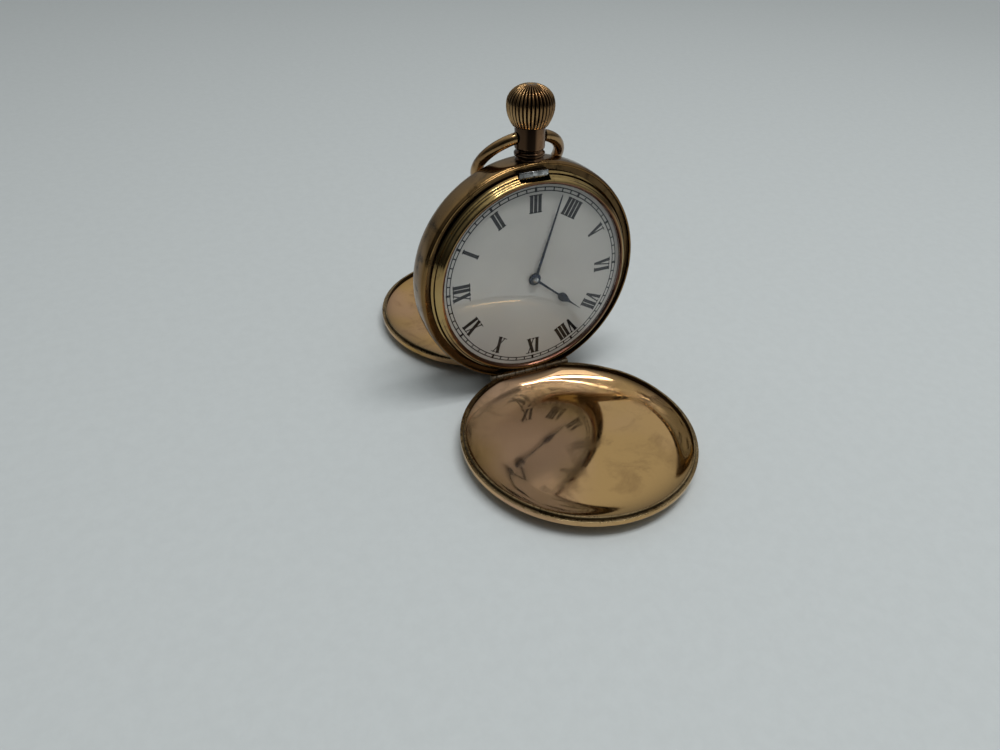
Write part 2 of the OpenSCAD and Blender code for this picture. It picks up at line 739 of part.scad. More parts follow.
function crown_ring(t) = [for (i = [0 : 2 * crown_flutes - 1])
    let (r = crown_profile(t), d = flute_depth * min(1, 0.12 + 7 * t, 0.35 + 5 * (1 - t)),
         k = i % 2 == 0 ? 0 : 1)
    [(r - k * d) * cos(180 * i / crown_flutes), (r - k * d) * sin(180 * i / crown_flutes),
     crown_low + crown_len * t]];

module crown_body() {
    n = 2 * crown_flutes;
    rings = [for (j = [0 : crown_steps]) crown_ring(j / crown_steps)];
    points = [each [for (ring = rings) each ring], [0, 0, crown_low], [0, 0, crown_low + crown_len]];
    sides = [for (j = [0 : crown_steps - 1], i = [0 : n - 1], half = [0, 1])
        let (a = j * n + i, b = j * n + (i + 1) % n, c = (j + 1) * n + i, d = (j + 1) * n + (i + 1) % n)
        half == 0 ? [a, c, b] : [b, c, d]];
    last = len(points) - 1;
    ends = [each [for (i = [0 : n - 1]) [i, (i + 1) % n, last - 1]],
        each [for (i = [0 : n - 1]) [crown_steps * n + (i + 1) % n, crown_steps * n + i, last]]];
    polyhedron(points, concat(sides, ends));
}

module crown() color(gold) in_case() along_stem() difference() {
    crown_body();
    translate([0, 0, crown_low - 1]) cylinder(r = crown_bore_r, h = crown_recess + 1);
    cylinder(r = stem_r + 0.02, h = crown_low + crown_len - 1.5);
    translate([0, 0, crown_low + crown_len - 0.15]) cylinder(r = 0.7, h = 1);
}

stem_y0 = 13.1 * spread;

module stem() color(steel) in_case() along_stem() difference() {
    translate([0, 0, stem_y0]) cylinder(r = stem_r, h = crown_low + crown_len - 1.55 - stem_y0);
    // groove for the setting lever's pin
    translate([0, 0, lever_pin_y - 0.28]) difference() {
        cylinder(r = 2, h = 0.56);
        translate([0, 0, -1]) cylinder(r = stem_r - 0.2, h = 3);
    }
}

// Catch and springs of the front cover

module lock_catch() color(steel) in_case() {
    translate([-catch_shift - catch_len / 2, catch_y0, catch_z0]) difference() {
        cube([catch_len, catch_w, catch_z1 - catch_z0]);
        translate([-1, catch_w - 0.25, catch_z1 - catch_z0 - 0.3])
            rotate([35, 0, 0]) cube([catch_len + 2, 1, 1]);
    }
}

module case_spring(a0, a1) {
    translate([0, 0, stem_z - spring_h / 2])
        ring_sector(channel_r - 0.05 - spring_t, channel_r - 0.05, a0, a1, spring_h);
}

module lock_spring() color(steel) in_case() difference() {
    case_spring(70, 150);
    along_stem() cylinder(r = stem_r + 0.3, h = 40);
}

module lift_spring() color(steel) in_case() case_spring(200, 300);

// Plates and bridges: the barrel bridge ends at split_y, and the train bridge starts just below
split_y = -1.7 * spread;

case_screw_at = [25, 205];
screw_ring_r = 18.4 * spread;
cock_screw_r = 19.2 * spread;
bridge_screw_at = [for (a = [20, 160, -11, -75]) polar(screw_ring_r, a)];
cock_screw_at = polar(cock_screw_r, 238);
pinion_slot = pinion_r + 0.15;

module screw_points(list) for (a = list) place(polar(bore_r - 0.9, a)) children();

module winding_slot(z0, z1) translate([-pinion_slot, slot_y0, z0])
    cube([2 * pinion_slot, pinion_y0 + pinion_len + 0.15 - slot_y0, z1 - z0]);

lower_jewels = [third_p, fourth_p, escape_p, pallet_p, balance_p];
recess_r = 7.6 * spread;

module main_plate() color(brass) in_case() difference() {
    union() {
        translate([0, 0, plate_back_z]) cylinder(r = plate_r, h = plate_t, $fn = smooth_fn);
        translate([0, 0, plate_seat_z + 0.02])
            cylinder(r = dial_recess_r - 0.1, h = plate_front_z - plate_seat_z - 0.02, $fn = smooth_fn);
    }
    difference() {
        translate([0, 0, recess_z]) cylinder(r = recess_r, h = 5);
        disc(minute_p, minute_post_r, recess_z - 1, 2.3);
    }
    for (p = lower_jewels) disc(p, jewel_r + 0.01, plate_back_z - 1, 1 + jewel_t + 0.02);
    disc(center_p, center_arbor_r + run_gap, plate_back_z - 1, 5);
    disc(barrel_p, barrel_pivot_r + run_gap, plate_back_z - 1, 1.8);
    winding_slot(-9, 2);
    for (a = feet_at) disc(polar(feet_r, a), 0.45 + run_gap, -9, 12);
    for (p = [each bridge_screw_at, cock_screw_at]) disc(p, screw_r + run_gap, plate_back_z - 1, 2.25);
    disc(pallet_foot_p, screw_r + run_gap, plate_back_z - 1, 2.25);
    screw_points(case_screw_at) translate([0, 0, plate_back_z - 1])
        cylinder(r = screw_r + run_gap, h = 2.25);
    // bed of the setting parts under the dial, and the slots for their two pins
    translate([-0.9, bed_y0, bed_z]) cube([7, bed_len, 3]);
    translate([-0.5, lever_pin_y - 0.7, plate_back_z - 1]) cube([1.2, 2.1, 3]);
    for (a = feet_at) translate([0, 0, plate_back_z + 0.6]) rotate(a) rod_x(dial_screw_r + run_gap, feet_r, 9);
}

center_arbor_r = 0.4;
barrel_pivot_r = 0.7;

head_sink = 0.5;
screw_head_r = 1.0;
small_head_r = 0.8;
screw_end_z = plate_back_z + 1.2;

module bridge_screw_bores(list) for (p = list) {
    disc(p, screw_r + run_gap, -20, 30);
    disc(p, screw_head_r + run_gap, bridge_top_z - 1, 1 + head_sink);
}

// Everything of a bridge's outline between the case's bore and the middle
module bridge_outline(y_low, y_high, x_low) intersection() {
    circle(r = bridge_r, $fn = smooth_fn);
    translate([x_low, y_low]) square([2 * case_r, y_high - y_low]);
}

module barrel_bridge() color(nickel) in_case() difference() {
    union() {
        translate([0, 0, bridge_top_z]) linear_extrude(bridge_t) bridge_outline(split_y, case_r, -case_r);
        translate([0, 0, bridge_z - eps]) linear_extrude(train_space + eps - 0.01) difference() {
            bridge_outline(split_y, case_r, -case_r);
            circle(r = 16.7 * spread);
            translate([-case_r, -3 * spread]) square([case_d, 5.5 * spread]);
        }
    }
    winding_slot(-9, 2);
    along_stem() cylinder(r = stem_r + run_gap, h = 30);
    along_stem() translate([0, 0, lever_pin_y - 0.6]) cylinder(r = 1.1, h = 2.1);
    disc(barrel_p, barrel_pivot_r + run_gap, -20, 30);
    disc(center_p, jewel_r + 0.01, -20, 30);
    bridge_screw_bores([bridge_screw_at[0], bridge_screw_at[1]]);
    disc(crown_wheel_p, 0.8 + run_gap, bridge_top_z - 1, 1.5);
    disc(click_p, 0.4 + run_gap, bridge_top_z - 1, 1.5);
    screw_points(case_screw_at) translate([0, 0, -20]) cylinder(r = screw_r + run_gap, h = 30);
}

module train_bridge() color(nickel) in_case() difference() {
    union() {
        translate([0, 0, bridge_top_z]) linear_extrude(bridge_t) train_outline();
        translate([0, 0, bridge_z - eps]) linear_extrude(train_space + eps - 0.01) difference() {
            train_outline();
            circle(r = 16.2 * spread);
        }
    }
    for (p = [third_p, fourth_p, escape_p]) disc(p, jewel_r + 0.01, -20, 30);
    bridge_screw_bores([bridge_screw_at[2], bridge_screw_at[3]]);
}

module train_outline() difference() {
    bridge_outline(-case_r, split_y - 0.25, balance_p[0] + 5.6 * spread);
    translate(balance_p) circle(r = balance_rim_r + 0.35);
}

balance_dir = atan2(balance_p[1], balance_p[0]);
cock_foot_a = [balance_dir - 16, balance_dir + 16];

module balance_cock() color(nickel) in_case() difference() {
    union() {
        translate([0, 0, cock_z - cock_t]) linear_extrude(cock_t) {
            intersection() {
                circle(r = bridge_r, $fn = smooth_fn);
                rotate(balance_dir) translate([norm(balance_p), -2.2]) square([case_r, 4.4]);
            }
            translate(balance_p) circle(r = 2.2);
        }
        translate([0, 0, cock_z - 0.5]) ring_sector(norm(balance_p) + balance_rim_r + 0.25, bridge_r,
            cock_foot_a[0], cock_foot_a[1], plate_back_z - 0.01 - cock_z + 0.5);
    }
    disc(balance_p, jewel_r + 0.01, -20, 30);
    disc(cock_screw_at, screw_r + run_gap, -20, 30);
    disc(cock_screw_at, small_head_r + run_gap, -20, 20 + cock_z - 0.15);
}

pallet_foot_len = 5.2 * spread;
pallet_foot_p = pallet_p - [0, pallet_foot_len];

module pallet_bridge() color(nickel) in_case() difference() {
    union() {
        place([0, 0], pallet_bridge_z) linear_extrude(pallet_bridge_t) {
            translate(pallet_p) circle(r = 0.95);
            translate(pallet_foot_p) circle(r = 1.3);
            translate(pallet_foot_p - [0.7, 0]) square([1.4, pallet_foot_len]);
        }
        disc(pallet_foot_p, 1.3, pallet_bridge_z, plate_back_z - 0.01 - pallet_bridge_z);
    }
    disc(pallet_p, jewel_r + 0.01, -20, 30);
    disc(pallet_foot_p, screw_r + run_gap, -20, 30);
    disc(pallet_foot_p, small_head_r + run_gap, -20, 20 + pallet_bridge_z + 0.3);
}

// Barrel and winding wheels

barrel_phase = 0;
barrel_core_r = 1.3;
center_pinion_phase = mesh_phase(turn_to(barrel_p, center_p), barrel_phase, barrel_teeth, center_leaves);
barrel_drum_r = barrel_m * barrel_teeth / 2 - 0.45;

module barrel() color(brass) in_case() difference() {
    union() {
        place(barrel_p, barrel_z1 - 0.7) linear_extrude(0.7)
            wheel_teeth(barrel_teeth, barrel_m, barrel_phase);
        disc(barrel_p, barrel_drum_r, barrel_z0, barrel_z1 - barrel_z0 - 0.1);
    }
    disc(barrel_p, barrel_drum_r - 0.35, barrel_z0 - 1, barrel_z1 - barrel_z0 + 0.7);
    disc(barrel_p, barrel_pivot_r + run_gap, -20, 30);
}

module barrel_cover() color(brass) in_case() difference() {
    disc(barrel_p, barrel_drum_r - 0.37, barrel_z0 + 0.02, 0.25);
    disc(barrel_p, barrel_pivot_r + run_gap, -20, 30);
}

module mainspring() color(steel) in_case() place(barrel_p, barrel_z0 + 0.32)
    linear_extrude(barrel_z1 - barrel_z0 - 0.7)
        polygon(spiral_points(barrel_core_r + 0.05, barrel_drum_r - 0.65, 7, 20, 0.14));

module barrel_arbor() color(steel) in_case() {
    low_z = bridge_top_z - winding_wheel_t;
    disc(barrel_p, barrel_core_r, barrel_z0 + 0.3, barrel_z1 - barrel_z0 - 0.66);
    disc(barrel_p, barrel_pivot_r, low_z, plate_back_z + 0.6 - low_z);
}

ratchet_phase = mesh_phase(turn_to(crown_wheel_p, barrel_p), 0, crown_wheel_teeth, ratchet_teeth);

module ratchet_wheel() color(steel) in_case() difference() {
    place(barrel_p, bridge_top_z - winding_wheel_t) linear_extrude(winding_wheel_t - 0.02)
        wheel_teeth(ratchet_teeth, winding_m, ratchet_phase);
    disc(barrel_p, barrel_pivot_r + 0.01, -20, 30);
}

module crown_wheel() color(steel) in_case() {
    place(crown_wheel_p, bridge_top_z - winding_wheel_t) linear_extrude(winding_wheel_t - 0.02)
        wheel_teeth(crown_wheel_teeth, winding_m, 0);
    disc(crown_wheel_p, 0.8, bridge_top_z - 0.1, 0.55);
}

// The click's pivot lies beside the ratchet wheel, and its nose rests near the teeth
ratchet_r = winding_m * ratchet_teeth / 2;
click_dir = 150;
click_p = barrel_p + polar(ratchet_r + 1.6, click_dir);

module click() color(steel) in_case() place([0, 0], bridge_top_z - winding_wheel_t) {
    linear_extrude(winding_wheel_t - 0.02) {
        translate(click_p) circle(r = 0.75);
        translate(click_p) rotate(click_dir + 125)
            polygon([[0, -0.5], [2.4, -0.28], [3.0, 0.1], [2.2, 0.35], [0, 0.5]]);
    }
    disc(click_p, 0.4, 0.1, winding_wheel_t + 0.35);
}

module click_spring() color(steel) in_case() place([0, 0], bridge_top_z - 0.35) linear_extrude(0.33)
    translate(click_p) rotate(click_dir + 55) translate([1.1, -0.12]) square([3.2, 0.25]);

module along_stem_gear(y0, r, len, n) along_stem() translate([0, 0, y0]) difference() {
    linear_extrude(len) polygon(gear_points(n, 2 * r / (n + 1.4), 0, 0.7, 0.9, 0.12, 0.3));
    translate([0, 0, -1]) cylinder(r = stem_r + run_gap, h = len + 2);
}

module winding_pinion() color(steel) in_case() along_stem_gear(pinion_y0, pinion_r, pinion_len, 14);

module clutch_wheel() color(steel) in_case() difference() {
    along_stem_gear(clutch_y0, clutch_r, clutch_len, 10);
    // slot for the yoke's tip
    along_stem() translate([0, 0, clutch_mid - 0.25]) difference() {
        cylinder(r = 2, h = 0.5);
        translate([0, 0, -1]) cylinder(r = clutch_r - 0.25, h = 3);
    }
}

// Setting lever and yoke, in their bed under the dial. The lever's pin stands in the stem's groove, and the
// yoke's tip in the clutch wheel's slot
arm_t = 0.32;
clutch_mid = clutch_y0 + clutch_len / 2;
lever_p = [4.6, 18.3] * spread;
yoke_p = [4.8, 12.6] * spread;
lever_pin_y = 18.9 * spread;
bed_y0 = 11.6 * spread;
bed_len = 8.4 * spread;
bed_z = plate_front_z - 0.78;
lever_z = bed_z + 0.03;

// A flat arm from its pivot to a tip, with a pin that reaches down from the tip to pin_z
module pin_arm(pivot, tip, half_w, tip_r, pin_r, pin_z) {
    translate([0, 0, lever_z]) linear_extrude(arm_t) {
        translate(pivot) circle(r = 0.75);
        translate(pivot) rotate(turn_to(pivot, tip))
            translate([0, -half_w]) square([norm(tip - pivot), 2 * half_w]);
        translate(tip) circle(r = tip_r);
    }
    disc(tip, pin_r, pin_z, lever_z + 0.1 - pin_z);
}

module setting_lever() color(steel) in_case()
    pin_arm(lever_p, [0, lever_pin_y], 0.3, 0.35, 0.18, stem_z + stem_r - 0.12);

module yoke() color(steel) in_case()
    pin_arm(yoke_p, [0, clutch_mid], 0.25, 0.3, 0.16, stem_z + clutch_r - 0.15);

// Going train

module pinion_at(p, n, m, phase, z0, h) place(p, z0) linear_extrude(h) pinion_teeth(n, m, phase);

module center_wheel() color(brass) in_case() {
    translate([0, 0, center_wheel_z]) spoked_wheel(center_teeth, center_m, wheel_t, 0, 1.3, 1.0);
    pinion_at(center_p, center_leaves, barrel_m, center_pinion_phase,
        center_wheel_z + wheel_t - eps, plate_back_z - 0.1 - center_wheel_z - wheel_t);
    disc(center_p, 0.6, center_wheel_z, wheel_t);
    disc(center_p, center_arbor_r, plate_back_z - 0.15, minute_hand_z + 0.45 - plate_back_z);
    disc(center_p, pivot_r + 0.1, bridge_z - jewel_t, jewel_t + 0.2);
}

third_phase = mesh_phase(turn_to(center_p, third_p), 0, center_teeth, third_leaves);
fourth_phase = mesh_phase(turn_to(third_p, fourth_p), 0, third_teeth, fourth_leaves);
escape_phase = mesh_phase(turn_to(fourth_p, escape_p), 0, fourth_teeth, escape_leaves);

module third_wheel() color(brass) in_case() {
    place(third_p, third_wheel_z) spoked_wheel(third_teeth, third_m, wheel_t, 0, 0.8, 0.8);
    pinion_at(third_p, third_leaves, center_m, third_phase, center_wheel_z - 0.1, 0.85);
    arbor(third_p);
}

module fourth_wheel() color(brass) in_case() {
    place(fourth_p, fourth_wheel_z) spoked_wheel(fourth_teeth, fourth_m, wheel_t, 0, 0.8, 0.7);
    pinion_at(fourth_p, fourth_leaves, third_m, fourth_phase, third_wheel_z - 0.3, 0.8);
    arbor(fourth_p);
}

escape_tooth_count = 15;

module escape_wheel() color(steel) in_case() {
    place(escape_p, escape_wheel_z) linear_extrude(wheel_t) difference() {
        polygon([for (i = [0 : escape_tooth_count - 1]) each
            let (a = 180 + 360 * i / escape_tooth_count, root_r = escape_tip_r - 0.7)
            [polar(root_r, a - 8), polar(escape_tip_r, a - 1),
             polar(escape_tip_r - 0.05, a + 2.5), polar(root_r, a + 3)]]);
        difference() {
            circle(r = escape_tip_r - 1.0);
            circle(r = 0.6);
            for (i = [0 : 3]) rotate(90 * i) translate([0, -0.15]) square([escape_tip_r, 0.3]);
        }
        circle(r = 0.2);
    }
    pinion_at(escape_p, escape_leaves, fourth_m, escape_phase, fourth_wheel_z - 0.2, 0.7);
    arbor(escape_p);
}

// The fork's two arms hold a stone each, just clear of the escape wheel's teeth
module pallet_fork() color(steel) in_case() {
    place([0, 0], escape_wheel_z) linear_extrude(wheel_t) {
        translate(pallet_p) {
            circle(r = 0.5);
            translate([-fork_len + 1.15, -0.18]) square([fork_len - 1.15, 0.36]);
            for (s = [-1, 1]) translate([-fork_len + 0.9, s * 0.25 - 0.11]) square([0.6, 0.22]);
            for (s = [-1, 1]) rotate(s * 62) translate([0, -0.22]) square([2.3 * spread, 0.44]);
        }
    }
    arbor(pallet_p, 0.25, pallet_bridge_z + pallet_bridge_t, plate_back_z);
}

module balance_wheel() color(brass) in_case() {
    place(balance_p, balance_z) linear_extrude(0.4) {
        difference() {
            circle(r = balance_rim_r);
            circle(r = balance_rim_r - 0.6);
        }
        difference() {
            union() {
                square([2 * balance_rim_r - 0.6, 0.7], center = true);
                circle(r = 0.9);
            }
            circle(r = 0.2);
        }
        for (i = [0 : 11]) rotate(15 + 30 * i) translate([balance_rim_r - 0.05, -0.2]) square([0.25, 0.4]);
    }
    // staff, roller and impulse pin
    disc(balance_p, 0.3, cock_z + 0.08, plate_back_z - cock_z - 0.16);
    disc(balance_p, 0.5, cock_z + 0.1, 0.3);
    disc(balance_p, pivot_r, cock_z - jewel_t + 0.05, plate_back_z - cock_z + 2 * jewel_t - 0.1);
    disc(balance_p, 1.0, escape_wheel_z - 0.5, 0.25);
    disc(balance_p + [0.8, 0], 0.12, escape_wheel_z - 0.3, 0.22);
}

hairspring_r = 3.2 * spread;

module hairspring() color(blued) in_case() place(balance_p, cock_z + 0.12)
    linear_extrude(0.2) polygon(spiral_points(0.56, hairspring_r, 6, 18, 0.06));

// Stud that holds the hairspring's outer end under the cock's arm
module hairspring_stud() color(steel) in_case() disc(balance_p + [hairspring_r + 0.26, 0], 0.19,
    cock_z + 0.02, 0.34);

module regulator() color(steel) in_case() translate([0, 0, cock_z - cock_t - 0.22]) linear_extrude(0.2) {
    difference() {
        translate(balance_p) circle(r = 1.3);
        translate(balance_p) circle(r = jewel_r + 0.02);
    }
    translate(balance_p) rotate(balance_dir) translate([1.2, -0.15]) square([2.6, 0.3]);
}

// Jewels, screws

module jewel(p, z, hole) difference() {
    disc(p, jewel_r, z, jewel_t);
    disc(p, hole, z - 1, 3);
}

module jewels() color(ruby) in_case() {
    for (p = lower_jewels) jewel(p, plate_back_z, pivot_r + 0.03);
    for (p = [third_p, fourth_p, escape_p]) jewel(p, bridge_z - jewel_t, pivot_r + 0.03);
    jewel(center_p, bridge_z - jewel_t, pivot_r + 0.13);
    jewel(pallet_p, pallet_bridge_z + pallet_bridge_t - jewel_t, pivot_r + 0.03);
    jewel(balance_p, cock_z - jewel_t, pivot_r + 0.03);
}

// A slotted screw whose head rests at seat_z; its shank runs on to end_z
module screw(seat_z, end_z, head_h, head_r, shank_r = screw_r) difference() {
    union() {
        translate([0, 0, seat_z - head_h / 2]) cylinder(r = shank_r, h = end_z - seat_z + head_h / 2);
        translate([0, 0, seat_z - head_h]) cylinder(r = head_r, h = head_h);
    }
    translate([-2, -0.15, seat_z - head_h - 1]) cube([4, 0.3, 1.15]);
}

module bridge_screws() color(blued) in_case() {
    for (p = bridge_screw_at) place(p)
        screw(bridge_top_z + head_sink, screw_end_z, head_sink - 0.02, screw_head_r);
    place(cock_screw_at) screw(cock_z - 0.15, screw_end_z, 0.4, small_head_r);
    place(pallet_foot_p) screw(pallet_bridge_z + 0.3, screw_end_z, 0.28, small_head_r);
}

// Their heads reach over the band's inner edge and hold the movement in the case
module case_screws() color(blued) in_case() screw_points(case_screw_at)
    screw(back_boss_z - 0.01, screw_end_z, 0.35, 1.2);

module dial_screws() color(steel) in_case() for (a = feet_at) translate([0, 0, plate_back_z + 0.6]) rotate(a)
    rod_x(dial_screw_r, feet_r + 0.5, plate_r - feet_r - 0.55);

case_band();
bezel();
crystal();
dial();
front_cover();
back_cover();
dust_cover();
front_hinge_pin();
back_hinge_pin();
pendant();
pendant_sleeve();
bow_pins();
bow();
crown();
stem();
lock_catch();
lock_spring();
lift_spring();
hour_hand();
minute_hand();
cannon_pinion();
hour_wheel();
minute_wheel();
main_plate();
barrel_bridge();
train_bridge();
balance_cock();
pallet_bridge();
barrel();
barrel_cover();
mainspring();
barrel_arbor();
ratchet_wheel();
crown_wheel();
click();
click_spring();
winding_pinion();
clutch_wheel();
setting_lever();
yoke();
center_wheel();
third_wheel();
fourth_wheel();
escape_wheel();
pallet_fork();
balance_wheel();
hairspring();
hairspring_stud();
regulator();
jewels();
bridge_screws();
case_screws();
dial_screws();
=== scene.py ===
import json
import bpy
import bmesh
from math import atan2, cos, exp, pi, radians, sin, sqrt
from mathutils import Matrix, Vector


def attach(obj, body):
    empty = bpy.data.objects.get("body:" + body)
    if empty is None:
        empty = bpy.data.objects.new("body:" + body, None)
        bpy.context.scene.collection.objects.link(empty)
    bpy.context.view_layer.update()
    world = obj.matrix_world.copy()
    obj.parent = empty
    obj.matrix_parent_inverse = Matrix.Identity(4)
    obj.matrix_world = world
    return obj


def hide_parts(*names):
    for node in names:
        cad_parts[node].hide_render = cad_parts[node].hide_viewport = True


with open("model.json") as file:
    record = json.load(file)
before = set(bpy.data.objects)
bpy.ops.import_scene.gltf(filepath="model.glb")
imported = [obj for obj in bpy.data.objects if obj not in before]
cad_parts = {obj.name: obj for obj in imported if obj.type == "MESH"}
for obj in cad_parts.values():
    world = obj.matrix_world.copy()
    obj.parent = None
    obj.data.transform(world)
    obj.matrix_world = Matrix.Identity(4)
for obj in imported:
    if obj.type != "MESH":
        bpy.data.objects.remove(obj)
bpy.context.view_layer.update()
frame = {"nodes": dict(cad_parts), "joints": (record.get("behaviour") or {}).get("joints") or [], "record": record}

mm = 0.001
joints = {joint["name"]: joint for joint in frame["joints"]}
nodes = frame["nodes"]

# The case's own frame: +Z out of the dial, +Y to the crown, +X to VI, all in millimetres
caseSizes = {
    "radius": 25.0,
    "frontSeat": -0.6,
    "backSeat": -7.0,
    "stemLine": -3.8,
    "hingeRadius": 23.4,
    "bandRound": 0.3,
    "rimFlat": 0.26,
    "barrelSwell": 0.6,
    "lineDepth": 0.09,
    "rimWidth": 0.6,
    "grooveDepth": 0.9,
    "bossRadius": 22.2,
    "frontBoss": 0.6,
    "backBoss": 0.5,
    "ledgeRadius": 21.4,
    "ledgeLevel": -1.6,
    "bore": 20.9,
}
crownWay = Vector(joints["crown_turn"]["axis"])
lean = atan2(crownWay.y, crownWay.z)
dialWay = Vector((0, -cos(lean), sin(lean)))
frontHinge = Vector(joints["front_cover_hinge"]["pos_m"])
caseCentre = frontHinge + crownWay * caseSizes["hingeRadius"] * mm - dialWay * caseSizes["frontSeat"] * mm
caseFrame = Matrix.Translation(caseCentre) @ Matrix.Rotation(pi / 2 - lean, 4, "X") @ Matrix.Scale(mm, 4)


def openedFrame(seat, angle):
    hinge = Vector((0, -caseSizes["hingeRadius"], seat))
    return caseFrame @ Matrix.Translation(hinge) @ Matrix.Rotation(angle, 4, "X") @ Matrix.Translation(-hinge)


frontFrame = openedFrame(caseSizes["frontSeat"], pi / 2 + lean)
backFrame = openedFrame(caseSizes["backSeat"], lean - pi / 2)
stemFrame = caseFrame @ Matrix.Translation((0, 0, caseSizes["stemLine"])) @ Matrix.Rotation(-pi / 2, 4, "X")


# Mesh helpers
# a profile's points are radius and height, and a third number is the rounding of that corner

def softened(points, radius=0.08, steps=3, closed=True):
    result = []
    count = len(points)
    for i, point in enumerate(points):
        here = Vector(point[:2])
        bend = point[2] if len(point) > 2 else radius
        atEnd = not closed and i in (0, count - 1)
        if bend == 0 or atEnd or here.x < 1e-6:
            result.append(here)
            continue
        before = Vector(points[i - 1][:2]) - here
        after = Vector(points[(i + 1) % count][:2]) - here
        if before.length < 1e-6 or after.length < 1e-6:
            continue
        start = here + before.normalized() * min(bend, before.length * 0.45)
        end = here + after.normalized() * min(bend, after.length * 0.45)
        for k in range(steps + 1):
            t = k / steps
            result.append(start * (1 - t) ** 2 + here * 2 * t * (1 - t) + end * t * t)
    return result


def cornersCut(points, times):
    for _ in range(times):
        cut = [points[0]]
        for a, b in zip(points, points[1:]):
            for near in (0.75, 0.25):
                far = 1 - near
                cut.append((a[0] * near + b[0] * far, a[1] * near + b[1] * far))
        points = cut + [points[-1]]
    return [(r, z, 0) for r, z in points]


def latheMesh(profile, segments=256, closed=True):
    mesh = bmesh.new()
    rings = []
    for point in profile:
        if point.x < 1e-5:
            rings.append([mesh.verts.new((0, 0, point.y))])
            continue
        ring = []
        for k in range(segments):
            a = 2 * pi * k / segments
            ring.append(mesh.verts.new((point.x * cos(a), point.x * sin(a), point.y)))
        rings.append(ring)
    pairs = list(zip(rings, rings[1:]))
    if closed:
        pairs.append((rings[-1], rings[0]))
    for low, high in pairs:
        if len(low) == 1 and len(high) == 1:
            continue
        for k in range(segments):
            n = (k + 1) % segments
            if len(low) == 1:
                corners = (low[0], high[n], high[k])
            elif len(high) == 1:
                corners = (low[k], low[n], high[0])
            else:
                corners = (low[k], low[n], high[n], high[k])
            mesh.faces.new(corners)
    bmesh.ops.recalc_face_normals(mesh, faces=mesh.faces)
    return mesh


def boxMesh(low, high, bevel=0, steps=2):
    mesh = bmesh.new()
    bmesh.ops.create_cube(mesh, size=1)
    low, high = Vector(low), Vector(high)
    for vert in mesh.verts:
        vert.co = Vector(low[i] + (vert.co[i] + 0.5) * (high[i] - low[i]) for i in range(3))
    if bevel:
        edges = list(mesh.edges)
        bmesh.ops.bevel(mesh, geom=edges, offset=bevel, segments=steps, profile=0.5, affect="EDGES")
    return mesh


def rodMesh(radius, start, end, bevel=0.02):
    profile = [(0, start), (radius, start), (radius, end), (0, end)]
    mesh = latheMesh(softened(profile, bevel), 48, closed=False)
    mesh.transform(Matrix.Rotation(pi / 2, 4, "Y"))
    return mesh


def plateMesh(outline, low, high):
    mesh = bmesh.new()
    bottom = [mesh.verts.new((x, y, low)) for x, y in outline]
    top = [mesh.verts.new((x, y, high)) for x, y in outline]
    mesh.faces.new(top)
    mesh.faces.new(bottom[::-1])
    for i in range(len(outline)):
        n = (i + 1) % len(outline)
        mesh.faces.new((bottom[i], bottom[n], top[n], top[i]))
    bmesh.ops.recalc_face_normals(mesh, faces=mesh.faces)
    return mesh


def merged(parts):
    whole = bmesh.new()
    for part in parts:
        data = bpy.data.meshes.new("part")
        part.to_mesh(data)
        part.free()
        whole.from_mesh(data)
        bpy.data.meshes.remove(data)
    return whole


def makeObject(name, mesh):
    data = bpy.data.meshes.new(name)
    mesh.to_mesh(data)
    mesh.free()
    piece = bpy.data.objects.new(name, data)
    bpy.context.scene.collection.objects.link(piece)
    return piece


def bakeModifiers(piece):
    bpy.context.view_layer.update()
    shaped = bpy.data.meshes.new_from_object(piece.evaluated_get(bpy.context.evaluated_depsgraph_get()))
    old = piece.data
    piece.modifiers.clear()
    piece.data = shaped
    bpy.data.meshes.remove(old)


def cutOut(piece, tools):
    for tool in tools:
        step = piece.modifiers.new("cut", "BOOLEAN")
        step.operation = "DIFFERENCE"
        step.solver = "EXACT"
        step.object = tool
    bakeModifiers(piece)
    for tool in tools:
        bpy.data.objects.remove(tool)


def finishPiece(piece, body, material, cadNodes, matrix, sharp=35):
    piece.data.transform(matrix)
    piece.data.materials.clear()
    for item in material if isinstance(material, (list, tuple)) else [material]:
        piece.data.materials.append(item)
    piece.data.shade_smooth()
    piece.data.set_sharp_from_angle(angle=radians(sharp))
    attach(piece, body)
    if cadNodes:
        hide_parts(*cadNodes)


def tintFaces(piece, matrix, slotNumber, chosen):
    # chosen is asked with each face's radius, height and angle in that frame
    back = matrix.inverted()
    for face in piece.data.polygons:
        spot = back @ face.center
        if chosen(sqrt(spot.x ** 2 + spot.y ** 2), spot.z, atan2(spot.y, spot.x)):
            face.material_index = slotNumber


# Shader groups

def newGroup(name, inputs, masks):
    group = bpy.data.node_groups.new(name, "ShaderNodeTree")
    for label, value in inputs.items():
        socket = group.interface.new_socket(name=label, in_out="INPUT", socket_type="NodeSocketFloat")
        socket.default_value = value
    for label in masks:
        group.interface.new_socket(name=label, in_out="OUTPUT", socket_type="NodeSocketFloat")
    start = group.nodes.new("NodeGroupInput")
    end = group.nodes.new("NodeGroupOutput")
    return group, start, end


def addNode(tree, kind, settings=None, **sockets):
    node = tree.nodes.new(kind)
    for key, value in (settings or {}).items():
        setattr(node, key, value)
    for key, value in sockets.items():
        socket = node.inputs[int(key[1:])] if key[0] == "i" and key[1:].isdigit() else node.inputs[key]
        if isinstance(value, bpy.types.NodeSocket):
            tree.links.new(value, socket)
        else:
            socket.default_value = value
    return node


def addMath(tree, operation, a, b=0.0, clamp=False):
    settings = {"operation": operation, "use_clamp": clamp}
    return addNode(tree, "ShaderNodeMath", settings, i0=a, i1=b).outputs[0]


